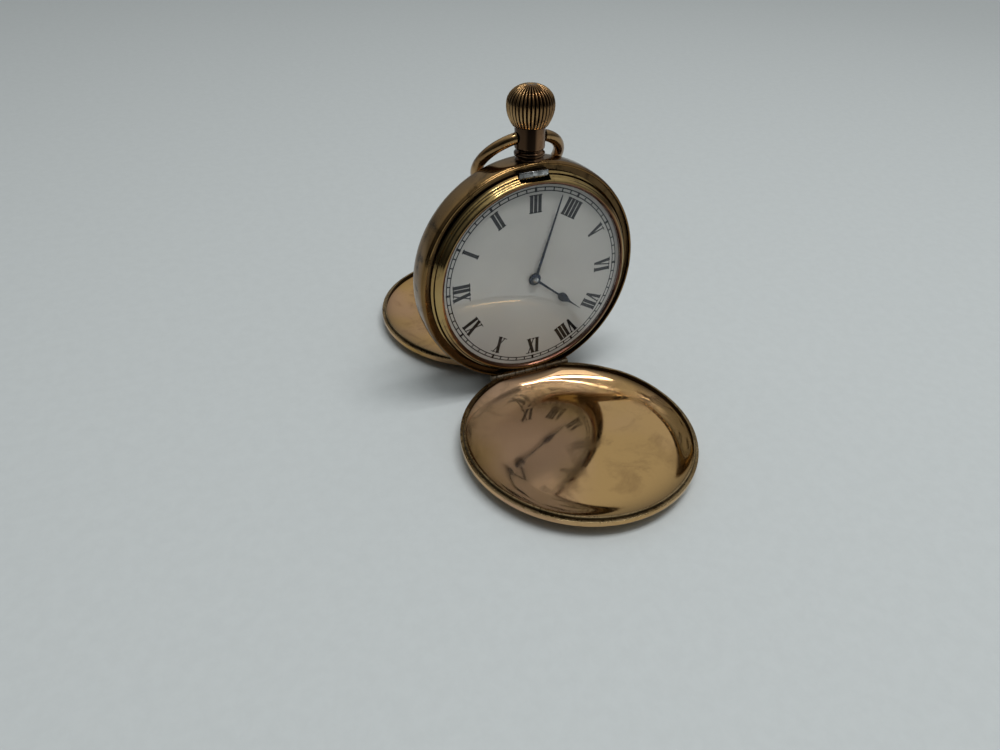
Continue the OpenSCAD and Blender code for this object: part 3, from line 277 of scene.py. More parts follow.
def addRange(tree, value, low, high, toLow=0.0, toHigh=1.0):
    node = addNode(tree, "ShaderNodeMapRange", {"interpolation_type": "SMOOTHSTEP"}, Value=value)
    for label, amount in (("From Min", low), ("From Max", high), ("To Min", toLow), ("To Max", toHigh)):
        node.inputs[label].default_value = amount
    return node.outputs[0]


def addMix(tree, factor, a, b):
    node = tree.nodes.new("ShaderNodeMix")
    node.data_type = "RGBA"
    for index, value in ((0, factor), (6, a), (7, b)):
        if isinstance(value, bpy.types.NodeSocket):
            tree.links.new(value, node.inputs[index])
        else:
            node.inputs[index].default_value = value
    return node.outputs[2]


def noiseAt(tree, point, scale, detail=4.0, rough=0.55, distortion=0.0):
    return addNode(tree, "ShaderNodeTexNoise", None, Vector=point, Scale=scale, Detail=detail,
                   Roughness=rough, Distortion=distortion).outputs[0]


def buildTarnish():
    values = {"Blotch": 160.0, "Shift": 0.0, "Amount": 0.5}
    group, start, end = newGroup("tarnish", values, ("Stain", "Film", "Speck"))
    place = addNode(group, "ShaderNodeTexCoord").outputs["Object"]
    moved = addNode(group, "ShaderNodeVectorMath", {"operation": "ADD"}, i0=place)
    group.links.new(start.outputs["Shift"], moved.inputs[1])
    moved = moved.outputs[0]
    blotch = start.outputs["Blotch"]
    big = noiseAt(group, moved, blotch, 5.0, 0.6, 0.6)
    wide = noiseAt(group, moved, addMath(group, "MULTIPLY", blotch, 0.28), 2.0, 0.5)
    small = noiseAt(group, moved, 2600.0, 3.0, 0.6)
    stain = addRange(group, addMath(group, "ADD", big, addMath(group, "MULTIPLY", small, 0.15)), 0.56, 0.80)
    stain = addMath(group, "MULTIPLY", stain, start.outputs["Amount"], True)
    group.links.new(stain, end.inputs["Stain"])
    group.links.new(addRange(group, wide, 0.35, 0.65), end.inputs["Film"])
    group.links.new(addRange(group, small, 0.66, 0.74), end.inputs["Speck"])
    return group


def buildScratches():
    group, start, end = newGroup("scratches", {"Density": 0.5}, ("Line", "Haze"))
    place = addNode(group, "ShaderNodeTexCoord").outputs["Object"]
    total = None
    for turn, size, stretch in ((0.4, 420.0, 0.035), (1.5, 520.0, 0.028), (2.4, 360.0, 0.04)):
        turned = addNode(group, "ShaderNodeMapping", {"vector_type": "POINT"}, Vector=place)
        turned.inputs["Rotation"].default_value = (turn * 0.7, turn * 0.4, turn)
        turned.inputs["Scale"].default_value = (size * stretch, size * 2.5, size * 2.5)
        streak = noiseAt(group, turned.outputs[0], 4.0, 1.0, 0.5, 0.3)
        ridge = addMath(group, "ABSOLUTE", addMath(group, "SUBTRACT", streak, 0.5))
        line = addRange(group, ridge, 0.0, 0.006, 1.0, 0.0)
        gate = addRange(group, noiseAt(group, turned.outputs[0], 1.3, 1.0), 0.5, 0.7)
        line = addMath(group, "MULTIPLY", line, gate)
        total = line if total is None else addMath(group, "MAXIMUM", total, line)
    group.links.new(addMath(group, "MULTIPLY", total, start.outputs["Density"], True), end.inputs["Line"])
    group.links.new(noiseAt(group, place, 900.0, 6.0, 0.7), end.inputs["Haze"])
    return group


tarnishGroup = buildTarnish()
scratchGroup = buildScratches()


def placeGroup(tree, group, **values):
    node = tree.nodes.new("ShaderNodeGroup")
    node.node_tree = group
    for label, value in values.items():
        node.inputs[label].default_value = value
    return node


def newMaterial(name):
    material = bpy.data.materials.new(name)
    material.use_nodes = True
    tree = material.node_tree
    shader = tree.nodes["Principled BSDF"]
    return material, tree, shader


def metal(name, clean, warm, dark, rough, tarnish, blotch, shift=0.0, scratch=0.5, bump=0.05, edge=0.0,
          streak=None):
    material, tree, shader = newMaterial(name)
    shader.inputs["Metallic"].default_value = 1.0
    stain = placeGroup(tree, tarnishGroup, Blotch=blotch, Shift=shift, Amount=tarnish)
    marks = placeGroup(tree, scratchGroup, Density=scratch)
    colour = addMix(tree, stain.outputs["Film"], (*clean, 1), (*warm, 1))
    colour = addMix(tree, stain.outputs["Stain"], colour, (*dark, 1))
    colour = addMix(tree, addMath(tree, "MULTIPLY", stain.outputs["Speck"], tarnish), colour, (*dark, 1))
    # dirt lies in the hollows
    if edge:
        sharpness = addNode(tree, "ShaderNodeNewGeometry").outputs["Pointiness"]
        crease = addRange(tree, sharpness, 0.42, 0.495, 1.0, 0.0)
        colour = addMix(tree, addMath(tree, "MULTIPLY", crease, edge), colour, (*dark, 1))
    # painted reflection: the neck's left side is painted dark, with a darker line painted along it, standing in
    # for the polished neck's reflection
    if streak:
        place = addNode(tree, "ShaderNodeTexCoord").outputs["Object"]
        side = addNode(tree, "ShaderNodeSeparateXYZ", None, Vector=place).outputs[0]
        away = addMath(tree, "ABSOLUTE", addMath(tree, "SUBTRACT", side, streak["at"]))
        wide = streak["wide"]
        shade = addRange(tree, side, -wide * 2, wide, 0.75, 0.0)
        colour = addMix(tree, shade, colour, (*dark, 1))
        line = addRange(tree, away, wide * 0.6, wide * 1.3, 0.92, 0.0)
        colour = addMix(tree, line, colour, (*dark, 1))
    tree.links.new(colour, shader.inputs["Base Color"])
    roughness = addRange(tree, marks.outputs["Haze"], 0.3, 0.75, rough[0], rough[1])
    roughness = addMath(tree, "ADD", roughness, addMath(tree, "MULTIPLY", stain.outputs["Stain"], 0.22))
    roughness = addMath(tree, "ADD", roughness, addMath(tree, "MULTIPLY", marks.outputs["Line"], 0.2), True)
    tree.links.new(roughness, shader.inputs["Roughness"])
    haze = addMath(tree, "MULTIPLY", marks.outputs["Haze"], 0.3)
    height = addMath(tree, "SUBTRACT", haze, marks.outputs["Line"])
    relief = addNode(tree, "ShaderNodeBump", None, Strength=bump, Distance=0.00006, Height=height)
    tree.links.new(relief.outputs[0], shader.inputs["Normal"])
    return material


# each metal's clean and warm tones, the dark of its stains, and how worn it is
caseGold = metal("caseGold", clean=(0.26, 0.158, 0.062), warm=(0.17, 0.09, 0.032), dark=(0.025, 0.015, 0.006),
                 rough=(0.08, 0.2), tarnish=0.8, blotch=210, scratch=0.5, bump=0.08, edge=0.8)
bezelGold = metal("bezelGold", clean=(0.50, 0.36, 0.15), warm=(0.34, 0.20, 0.075), dark=(0.05, 0.026, 0.012),
                  rough=(0.05, 0.14), tarnish=0.6, blotch=230, shift=3.1, scratch=0.35, bump=0.05, edge=0.6)
# the bezel's inner wall is painted a dark reddish tone as a painted reflection; its hidden underside takes it too
bezelPaintedReflection = metal("bezelPaintedReflection", clean=(0.20, 0.10, 0.06), warm=(0.14, 0.06, 0.04),
                    dark=(0.03, 0.015, 0.012), rough=(0.1, 0.2), tarnish=0.5, blotch=230, shift=5.1,
                    scratch=0.35, bump=0.05)
lidGold = metal("lidGold", clean=(0.64, 0.41, 0.26), warm=(0.60, 0.38, 0.155), dark=(0.22, 0.12, 0.055),
                rough=(0.035, 0.09), tarnish=0.4, blotch=120, shift=1.7, scratch=0.5, bump=0.02, edge=0.5)
rearGold = metal("rearGold", clean=(0.56, 0.34, 0.20), warm=(0.56, 0.34, 0.10), dark=(0.2, 0.10, 0.045),
                 rough=(0.05, 0.12), tarnish=0.5, blotch=150, shift=4.9, scratch=0.5, bump=0.02, edge=0.5)
rimWorn = metal("rimWorn", clean=(0.30, 0.215, 0.11), warm=(0.19, 0.125, 0.055), dark=(0.05, 0.03, 0.012),
                rough=(0.2, 0.42), tarnish=0.8, blotch=520, shift=6.1, scratch=1.0, bump=0.3, edge=0.4)
grooveDark = metal("grooveDark", clean=(0.085, 0.06, 0.03), warm=(0.04, 0.03, 0.016),
                   dark=(0.012, 0.01, 0.006), rough=(0.25, 0.5), tarnish=0.7, blotch=600, shift=8.3,
                   scratch=0.6, bump=0.15)
# the band's inner faces, the groove beside the bezel among them, are gold darkened as painted shade
ledgePaintedShade = metal("ledgePaintedShade", clean=(0.13, 0.08, 0.035), warm=(0.075, 0.042, 0.018),
                  dark=(0.012, 0.008, 0.004), rough=(0.12, 0.28), tarnish=0.6, blotch=300, shift=7.7,
                  scratch=0.4, bump=0.05, edge=0.5)
crownGold = metal("crownGold", clean=(0.46, 0.295, 0.135), warm=(0.27, 0.155, 0.068),
                  dark=(0.03, 0.017, 0.008), rough=(0.1, 0.22), tarnish=0.7, blotch=420, shift=5.2,
                  scratch=0.3, bump=0.05, edge=0.95)
# the neck's streak settings place its painted reflection: a dark left side and a dark line
neckBronze = metal("neckBronze", clean=(0.25, 0.14, 0.075), warm=(0.12, 0.065, 0.033),
                   dark=(0.01, 0.006, 0.004), rough=(0.06, 0.16), tarnish=0.75, blotch=380, shift=2.9,
                   scratch=0.4, bump=0.06, edge=0.8, streak={"at": -0.001, "wide": 0.0009})
# near black for the flutes' valleys, as painted shade
flutePaintedShade = metal("flutePaintedShade", clean=(0.022, 0.014, 0.008), warm=(0.04, 0.022, 0.012),
                  dark=(0.008, 0.006, 0.004), rough=(0.3, 0.5), tarnish=0.5, blotch=700, scratch=0.2,
                  bump=0.1)
hingeSteel = metal("hingeSteel", clean=(0.36, 0.31, 0.24), warm=(0.22, 0.16, 0.10),
                   dark=(0.035, 0.025, 0.016), rough=(0.2, 0.4), tarnish=0.9, blotch=500, scratch=0.5,
                   bump=0.12, edge=0.5)
catchSteel = metal("catchSteel", clean=(0.72, 0.73, 0.74), warm=(0.2, 0.2, 0.2), dark=(0.03, 0.03, 0.03),
                   rough=(0.12, 0.34), tarnish=0.95, blotch=1100, shift=2.2, scratch=1.0, bump=0.3, edge=0.6)
movementSteel = metal("movementSteel", clean=(0.56, 0.57, 0.58), warm=(0.48, 0.49, 0.50),
                      dark=(0.18, 0.17, 0.16), rough=(0.15, 0.3), tarnish=0.3, blotch=600, scratch=0.4)
gildedBrass = metal("gildedBrass", clean=(0.66, 0.49, 0.22), warm=(0.58, 0.41, 0.17), dark=(0.22, 0.13, 0.05),
                    rough=(0.28, 0.45), tarnish=0.3, blotch=500, shift=4.4, scratch=0.2)
nickelPlate = metal("nickelPlate", clean=(0.66, 0.65, 0.62), warm=(0.58, 0.57, 0.53), dark=(0.25, 0.24, 0.22),
                    rough=(0.2, 0.38), tarnish=0.25, blotch=450, shift=7.0, scratch=0.3)
bluedSteel = metal("bluedSteel", clean=(0.008, 0.018, 0.045), warm=(0.012, 0.014, 0.028),
                   dark=(0.006, 0.006, 0.008), rough=(0.2, 0.34), tarnish=0.3, blotch=700, shift=9.0,
                   scratch=0.2)


def buildEnamel():
    material, tree, shader = newMaterial("dialEnamel")
    place = addNode(tree, "ShaderNodeTexCoord").outputs["Object"]
    cloud = addRange(tree, noiseAt(tree, place, 90.0, 3.0), 0.3, 0.7)
    dust = addRange(tree, noiseAt(tree, place, 3200.0, 2.0, 0.5), 0.72, 0.78)
    # the base tones are white darkened to pale grey as painted shade
    colour = addMix(tree, cloud, (0.62, 0.605, 0.57, 1), (0.58, 0.565, 0.54, 1))
    colour = addMix(tree, addMath(tree, "MULTIPLY", dust, 0.35), colour, (0.35, 0.31, 0.26, 1))
    tree.links.new(colour, shader.inputs["Base Color"])
    polish = addRange(tree, noiseAt(tree, place, 700.0, 4.0), 0.3, 0.7, 0.16, 0.26)
    tree.links.new(polish, shader.inputs["Roughness"])
    wave = noiseAt(tree, place, 260.0, 2.0)
    ripple = addNode(tree, "ShaderNodeBump", None, Strength=0.012, Distance=0.0001, Height=wave)
    tree.links.new(ripple.outputs[0], shader.inputs["Normal"])
    return material


def buildInk():
    material, tree, shader = newMaterial("firedInk")
    place = addNode(tree, "ShaderNodeTexCoord").outputs["Object"]
    fade = addRange(tree, noiseAt(tree, place, 1500.0, 3.0), 0.35, 0.75)
    colour = addMix(tree, fade, (0.006, 0.006, 0.009, 1), (0.018, 0.018, 0.024, 1))
    tree.links.new(colour, shader.inputs["Base Color"])
    shader.inputs["Specular IOR Level"].default_value = 0.08
    tree.links.new(addRange(tree, fade, 0.0, 1.0, 0.22, 0.38), shader.inputs["Roughness"])
    return material


def buildCrystalGlass():
    material, tree, shader = newMaterial("crystalGlass")
    shader.inputs["Transmission Weight"].default_value = 1.0
    shader.inputs["IOR"].default_value = 1.42
    shader.inputs["Specular IOR Level"].default_value = 0.08
    shader.inputs["Base Color"].default_value = (0.97, 0.98, 0.975, 1)
    place = addNode(tree, "ShaderNodeTexCoord").outputs["Object"]
    smear = addRange(tree, noiseAt(tree, place, 110.0, 5.0, 0.65, 0.8), 0.45, 0.8, 0.0, 0.015)
    marks = placeGroup(tree, scratchGroup, Density=0.5)
    lines = addMath(tree, "MULTIPLY", marks.outputs["Line"], 0.06)
    tree.links.new(addMath(tree, "ADD", smear, lines), shader.inputs["Roughness"])
    clear = tree.nodes.new("ShaderNodeBsdfTransparent")
    clear.inputs[0].default_value = (0.9, 0.91, 0.905, 1)
    rays = tree.nodes.new("ShaderNodeLightPath")
    mix = tree.nodes.new("ShaderNodeMixShader")
    tree.links.new(rays.outputs["Is Shadow Ray"], mix.inputs[0])
    tree.links.new(shader.outputs[0], mix.inputs[1])
    tree.links.new(clear.outputs[0], mix.inputs[2])
    tree.links.new(mix.outputs[0], tree.nodes["Material Output"].inputs["Surface"])
    return material


def buildRuby():
    material, tree, shader = newMaterial("rubyJewel")
    place = addNode(tree, "ShaderNodeTexCoord").outputs["Object"]
    depth = addRange(tree, noiseAt(tree, place, 2000.0, 2.0), 0.3, 0.7)
    colour = addMix(tree, depth, (0.5, 0.02, 0.07, 1), (0.32, 0.01, 0.05, 1))
    tree.links.new(colour, shader.inputs["Base Color"])
    shader.inputs["Roughness"].default_value = 0.08
    shader.inputs["Transmission Weight"].default_value = 0.4
    return material


dialEnamel = buildEnamel()
firedInk = buildInk()
crystalGlass = buildCrystalGlass()
rubyJewel = buildRuby()
print("materials ready")

# Hinges: five knuckles each, three on the band and two on the cover
hinges = {"length": 19.4, "knuckle": 0.75, "middle": 2.8, "coverPart": 2.4, "gap": 0.06, "play": 0.07,
          "round": 0.12}


def knuckleSpans():
    half = hinges["middle"] / 2
    coverStart = half + hinges["gap"]
    coverEnd = coverStart + hinges["coverPart"]
    outer = coverEnd + hinges["gap"]
    bandSpans = [(-hinges["length"] / 2, -outer), (-half, half), (outer, hinges["length"] / 2)]
    coverSpans = [(-coverEnd, -coverStart), (coverStart, coverEnd)]
    return bandSpans, coverSpans


bandSpans, coverSpans = knuckleSpans()


def knuckleRods(spans, seat, grow=0.0):
    rods = []
    for start, end in spans:
        rod = rodMesh(hinges["knuckle"] + grow, start - grow, end + grow, hinges["round"])
        rod.transform(Matrix.Translation((0, -caseSizes["hingeRadius"], seat)))
        rods.append(rod)
    return rods


def hingeGroove(play, level):
    half = hinges["length"] / 2 + 0.1
    groove = makeObject("tool", rodMesh(hinges["knuckle"] + play, -half, half))
    groove.data.transform(Matrix.Translation((0, -caseSizes["hingeRadius"], level)))
    return groove


# Case band
rimRadius = caseSizes["radius"] - caseSizes["bandRound"]
rimInner = rimRadius - caseSizes["rimWidth"]
springCatch = {"length": 6.4, "width": 1.25, "shift": 0.6, "travel": 0.35, "top": -0.2, "bottom": -2.53,
               "inner": 21.9, "gap": 0.1}


def catchSlot():
    gap = springCatch["gap"]
    left = -springCatch["shift"] - springCatch["length"] / 2 - gap
    low = (left, springCatch["inner"] - springCatch["travel"] - gap, springCatch["bottom"] - gap / 2)
    high = (left + springCatch["length"] + gap * 2, springCatch["inner"] + springCatch["width"] + gap, 3.0)
    return makeObject("slot", boxMesh(low, high))


def buildBand():
    front, back = caseSizes["frontSeat"], caseSizes["backSeat"]
    boss, ledge, bore = caseSizes["bossRadius"], caseSizes["ledgeRadius"], caseSizes["bore"]
    frontFloor, backFloor = front - caseSizes["grooveDepth"], back + caseSizes["grooveDepth"]
    frontTop, backTop = frontFloor + caseSizes["frontBoss"], backFloor - caseSizes["backBoss"]
    level = caseSizes["ledgeLevel"]
    middle = (front + back) / 2
    half = (front - back) / 2
    barrel = []
    for i in range(-16, 17):
        turn = sin(pi / 2 * i / 16)
        swell = caseSizes["barrelSwell"] * (1 - abs(turn) ** 3) ** 0.6
        # a fine turned line beside each cover
        line = caseSizes["lineDepth"] if i in (10, -10) else 0
        barrel.append((rimInner + caseSizes["rimFlat"] + swell - line, middle + half * turn, 0))
    profile = barrel + [
        (rimInner, front), (rimInner, frontFloor), (boss, frontFloor), (boss, frontTop), (ledge, frontTop),
        (ledge, level), (bore, level), (bore, backTop), (boss, backTop), (boss, backFloor),
        (rimInner, backFloor), (rimInner, back),
    ]
    band = makeObject("bandShell", latheMesh(softened(profile, 0.07), 320))
    tools = [catchSlot()]
    for seat in (front, back):
        tools += [makeObject("tool", rod) for rod in knuckleRods(coverSpans, seat, hinges["play"])]
    cutOut(band, tools)
    finishPiece(band, "case", [caseGold, ledgePaintedShade], ["case_band"], caseFrame)
    # the band's inner faces take the darkened gold of the painted shade
    tintFaces(band, caseFrame, 1, lambda r, z, a: r < rimInner + 0.02 and back + 0.1 < z < front - 0.1)
    rods = knuckleRods(bandSpans, front) + knuckleRods(bandSpans, back)
    knuckles = makeObject("bandKnuckles", merged(rods))
    finishPiece(knuckles, "case", hingeSteel, (), caseFrame)


buildBand()
print("band ready")

# Bezel, crystal and dial
bezelSizes = {
    "inner": 20.6, "outer": 22.9, "low": -0.85, "crestRadius": 21.1, "crest": 1.18,
    "glass": 20.74, "glassEdge": 0.62, "glassRim": 0.26, "glassTop": 2.35, "glassThick": 0.6,
}


def buildBezel():
    inner, outer, crest = bezelSizes["inner"], bezelSizes["outer"], bezelSizes["crest"]
    seat, edge = bezelSizes["glass"] + 0.04, bezelSizes["glassEdge"] - 0.02
    low, crestRadius = bezelSizes["low"], bezelSizes["crestRadius"]
    # from the flange over two steps to the crest beside the glass
    steps = [(outer, low), (22.5, -0.5), (22.28, 0.1), (21.9, 0.38), (21.66, 0.9), (21.3, crest),
             (crestRadius - 0.16, crest - 0.05)]
    profile = [(22.3, -1.25), (outer, -1.25, 0.05)] + cornersCut(steps, 4) + [
        (seat, crest - 0.3, 0.03), (seat, edge, 0.02), (inner, edge, 0.05),
        (inner, 0.05, 0.05), (21.3, 0.05), (21.3, -0.9), (22.24, -0.9), (22.24, -1.25),
    ]
    ring = makeObject("bezelRing", latheMesh(softened(profile, 0.05, 5), 320))
    cutOut(ring, [catchSlot(), hingeGroove(hinges["play"], caseSizes["frontSeat"])])
    finishPiece(ring, "case", [bezelGold, bezelPaintedReflection], ["bezel"], caseFrame)
    # the faces beside the glass and underneath take the dark painted reflection
    tintFaces(ring, caseFrame, 1, lambda r, z, a: r < crestRadius + 0.1 or z < low - 0.02)


def buildCrystal():
    radius, edge = bezelSizes["glass"], bezelSizes["glassEdge"]
    top, thick = edge + bezelSizes["glassRim"], bezelSizes["glassThick"]
    dome, hollow = bezelSizes["glassTop"], bezelSizes["glassTop"] - thick
    outside = [(radius * (1 - i / 40), top + (dome - top) * (1 - (1 - i / 40) ** 2), 0) for i in range(41)]
    inside = [((radius - thick) * i / 40, edge + (hollow - edge) * (1 - (i / 40) ** 2), 0) for i in range(41)]
    profile = [Vector(p[:2]) for p in outside + inside + [(radius, edge, 0)]]
    glass = makeObject("crystalDome", latheMesh(profile, 256))
    finishPiece(glass, "case", crystalGlass, ["crystal"], caseFrame, sharp=50)


dialSizes = {"radius": 21.2, "thick": 0.8, "hole": 1.25, "track": 19.5, "trackWidth": 0.72, "print": 0.012,
             "turn": 0.7, "circle": 0.22, "tick": 0.28, "hourTick": 0.52, "hourReach": 0.16}


def dialPoint(angle, radius):
    a = radians(angle)
    return Vector((radius * sin(a), radius * cos(a)))


def stroke(start, end, width, endWidth=None):
    along = (end - start).normalized()
    side = Vector((-along.y, along.x)) / 2
    endWidth = width if endWidth is None else endWidth
    return [start - side * width, end - side * endWidth, end + side * endWidth, start + side * width]


numeralSizes = {"foot": 14.6, "head": 18.5, "thick": 0.76, "thin": 0.26, "serif": 0.3}
romanWords = ["XII", "I", "II", "III", "IIII", "V", "VI", "VII", "VIII", "IX", "X", "XI"]
letterWidth = {"I": 0.93, "V": 2.05, "X": 2.05}


def letterStrokes(letter, x, width):
    low, high = numeralSizes["foot"], numeralSizes["head"]
    thick, thin, serif = numeralSizes["thick"], numeralSizes["thin"], numeralSizes["serif"]
    left, right = x - width / 2, x + width / 2
    if letter == "I":
        bars = [stroke(Vector((x, low)), Vector((x, high)), thick)]
        feet = [x]
        heads = [x]
    elif letter == "V":
        bars = [stroke(Vector((x, low)), Vector((left + thick / 2, high)), thick * 0.7, thick),
                stroke(Vector((x, low)), Vector((right - thin, high)), thin * 1.4, thin)]
        feet = []
        heads = [left + thick / 2, right - thin]
    else:
        bars = [stroke(Vector((right - thick / 2, low)), Vector((left + thick / 2, high)), thick),
                stroke(Vector((left + thin, low)), Vector((right - thin, high)), thin)]
        feet = [left + thin, right - thick / 2]
        heads = [left + thick / 2, right - thin]
    half = thick / 2 + 0.16
    for spots, level in ((feet, low + serif / 2), (heads, high - serif / 2)):
        for spot in spots:
            bars.append(stroke(Vector((spot - half, level)), Vector((spot + half, level)), serif * 0.6))
    return bars


def buildDial():
    hole, radius, back = dialSizes["hole"], dialSizes["radius"], -dialSizes["thick"]
    profile = [(hole, back), (radius, back), (radius, -0.06), (radius - 0.4, 0, 0.2), (hole, 0, 0.06)]
    plate = makeObject("dialPlate", latheMesh(softened(profile, 0.05), 256))
    finishPiece(plate, "case", dialEnamel, ["dial"], caseFrame)
    parts = []
    low, high = -0.004, dialSizes["print"]
    for side in (-1, 1):
        middle = dialSizes["track"] + side * dialSizes["trackWidth"] / 2
        near, far = middle - dialSizes["circle"] / 2, middle + dialSizes["circle"] / 2
        corners = ((near, low), (far, low), (far, high), (near, high))
        parts.append(latheMesh([Vector(corner) for corner in corners], 256))
    for minute in range(60):
        bold = minute % 5 == 0
        reach = dialSizes["trackWidth"] / 2 + (dialSizes["hourReach"] if bold else 0)
        start = dialPoint(6 * minute, dialSizes["track"] - reach)
        end = dialPoint(6 * minute, dialSizes["track"] + reach)
        parts.append(plateMesh(stroke(start, end, dialSizes["hourTick" if bold else "tick"]), low, high))
    for hour, word in enumerate(romanWords):
        widths = [letterWidth[letter] for letter in word]
        cursor = -sum(widths) / 2
        turn = Matrix.Rotation(radians(-30 * hour), 4, "Z")
        for letter, width in zip(word, widths):
            for outline in letterStrokes(letter, cursor + width / 2, width * 0.9):
                bar = plateMesh(outline, low, high)
                bar.transform(turn)
                parts.append(bar)
            cursor += width
    marks = merged(parts)
    # XII stands a quarter turn anticlockwise from the crown
    marks.transform(Matrix.Rotation(radians(90 + dialSizes["turn"]), 4, "Z"))
    finishPiece(makeObject("dialPrint", marks), "case", firedInk, (), caseFrame)


buildBezel()
buildCrystal()
buildDial()
print("dial side ready")

# Covers
coverSizes = {
    "radius": 24.68, "wall": 0.5, "edge": 1.1, "flat": 13.0, "flatInside": 15.5, "gap": 0.05,
    "frontHeight": 3.95, "backHeight": 3.45, "chord": 23.1,
    "lip": 0.45, "lipDepth": 0.6, "lipEnd": -20.8, "lipFade": -21, "lipRun": 6,
}


def dishCurve(rim, flat, low, high):
    points = []
    steps = 28
    for i in range(steps + 1):
        t = i / steps
        ease = (1 - cos(t * pi / 2)) * 0.55 + t * 0.45
        points.append((rim - (rim - flat) * ease, low + (high - low) * sin(t * pi / 2), 0.3 if i == 0 else 0))
    return points


def flattenAtHinge(piece):
    # the wall swings in beside the hinge, the outer skin least
    for vert in piece.data.vertices:
        reach = sqrt(vert.co.x ** 2 + vert.co.y ** 2)
        limit = coverSizes["chord"] - 0.06 - (coverSizes["radius"] - reach) * 0.38
        start = limit - 0.5
        if -vert.co.y > start:
            vert.co.y = -(limit - 0.5 * exp((start + vert.co.y) / 0.5))


def buildCover(name, node, openFrame, finish, side):
    # side is 1 for the front cover and -1 for the back one
    front = side > 0
    seat = caseSizes["frontSeat" if front else "backSeat"]
    height = coverSizes["frontHeight" if front else "backHeight"] - coverSizes["gap"]
    radius, edge = coverSizes["radius"], coverSizes["edge"]
    inner = radius - 0.9
    lipOuter = rimInner - 0.06
    floorLevel = height - coverSizes["wall"]
    outside = dishCurve(radius, coverSizes["flat"], edge, height)
    inside = dishCurve(inner, coverSizes["flatInside"], edge - 0.35, floorLevel)
    profile = [(radius, 0, 0.12)] + outside + [(0, height, 0), (0, floorLevel, 0)] + inside[::-1]
    profile += [(inner, 0.02, 0.05)]
    dish = makeObject(name, latheMesh(softened(profile, 0.06, 4), 320))
    flattenAtHinge(dish)
    cutOut(dish, [hingeGroove(hinges["gap"], -coverSizes["gap"])])
    lipInner, lipLow = lipOuter - coverSizes["lip"], -coverSizes["lipDepth"]
    lip = [(lipInner, lipLow, 0.1), (lipOuter, lipLow, 0.12), (lipOuter, 0.15), (lipInner, 0.15)]
    ring = makeObject(name + "Lip", latheMesh(softened(lip, 0.05), 320))
    # the lip runs out on both sides of the hinge
    for vert in ring.data.vertices:
        if vert.co.z < 0:
            vert.co.z *= min(1.0, max(0.02, (vert.co.y - coverSizes["lipFade"]) / coverSizes["lipRun"]))
    cutOut(ring, [makeObject("tool", boxMesh((-30, -30, -3), (30, coverSizes["lipEnd"], 3)))])
    place = Matrix.Translation((0, 0, seat)) @ Matrix.Diagonal((1, 1, side, 1))
    place = place @ Matrix.Translation((0, 0, coverSizes["gap"]))
    for piece in (dish, ring):
        piece.data.transform(place)
        if side < 0:
            piece.data.flip_normals()
    finishPiece(dish, node, [finish, rimWorn, grooveDark], [node], openFrame)
    tintFaces(dish, openFrame @ place, 1, lambda r, z, a: r > inner + 0.03 and z < 0.08)
    tintFaces(dish, openFrame @ place, 2, lambda r, z, a: inner - 0.2 < r < inner + 0.03 and z < edge - 0.4)
    finishPiece(ring, node, [rimWorn, grooveDark], (), openFrame)
    tintFaces(ring, openFrame @ place, 1, lambda r, z, a: r > lipOuter - 0.12 or z > -0.3)
    rods = makeObject(name + "Knuckles", merged(knuckleRods(coverSpans, seat)))
    finishPiece(rods, node, hingeSteel, (), openFrame)


dustSizes = {"top": -6.6, "inner": 22.23, "outer": 22.58, "rise": 1.45, "wall": 0.4, "edge": 0.35,
             "notch": 0.6, "notchAt": 60}


def buildDustCover():
    top, inner, outer = dustSizes["top"], dustSizes["inner"], dustSizes["outer"]
    rise, wall, edge = dustSizes["rise"], dustSizes["wall"], dustSizes["edge"]
    dome = inner - wall
    under = [(dome * (1 - i / 20), top - edge - rise * (1 - (1 - i / 20) ** 2), 0) for i in range(21)]
    over = [((dome + 0.2) * i / 20, top - edge - wall - rise * (1 - (i / 20) ** 2), 0) for i in range(21)]
    profile = [(inner, top + 0.3), (inner, top), (dome, top)] + under + over
    profile += [(outer, top - edge, 0.1), (outer, top + 0.3)]
    lid = makeObject("innerLid", latheMesh(softened(profile, 0.05), 256))
    # a thumb notch for opening it
    notch = rodMesh(dustSizes["notch"], -1.5, 1.5)
    notch.transform(Matrix.Rotation(pi / 2, 4, "Y"))
    side, reach = radians(dustSizes["notchAt"]), outer + 0.35
    notch.transform(Matrix.Translation((cos(side) * reach, sin(side) * reach, top)))
    cutOut(lid, [makeObject("tool", notch)])
    finishPiece(lid, "case", bezelGold, ["dust_cover"], caseFrame)


buildCover("frontDish", "front_cover", frontFrame, lidGold, 1)
buildCover("backDish", "back_cover", backFrame, rearGold, -1)
buildDustCover()
print("covers ready")

# Pendant, bow and crown, along the stem's line
pendantSizes = {"seat": 24.3, "flange": 2.95, "collar": 3.12, "waist": 2.62, "neck": 3.05, "top": 31.9,
                "bore": 1.17, "pivot": 28.9}


def buildPendant():
    seat, neck, bore, top = (pendantSizes[label] for label in ("seat", "neck", "bore", "top"))
    flange, collar, waist = (pendantSizes[label] for label in ("flange", "collar", "waist"))
    profile = [
        (bore, seat + 0.02), (flange, seat + 0.02), (flange, seat + 0.42, 0.15), (2.6, seat + 0.8, 0.12),
        (collar, seat + 1.2, 0.25), (collar, seat + 1.75, 0.25), (waist, seat + 2.15, 0.12),
        (waist, seat + 2.3, 0.1), (neck - 0.1, seat + 2.5, 0.15), (neck, seat + 2.8, 0.2), (neck, top, 0.2),
        (bore, top),
    ]
    neckPiece = makeObject("pendantNeck", latheMesh(softened(profile, 0.06, 4), 128))
    finishPiece(neckPiece, "case", neckBronze, ["pendant"], stemFrame)


bowSizes = {"ring": 8.95, "wire": 1.15, "reach": 8.35, "drop": 0.45, "rest": 140.0, "end": 3.2,
            "sides": 40, "steps": 160}


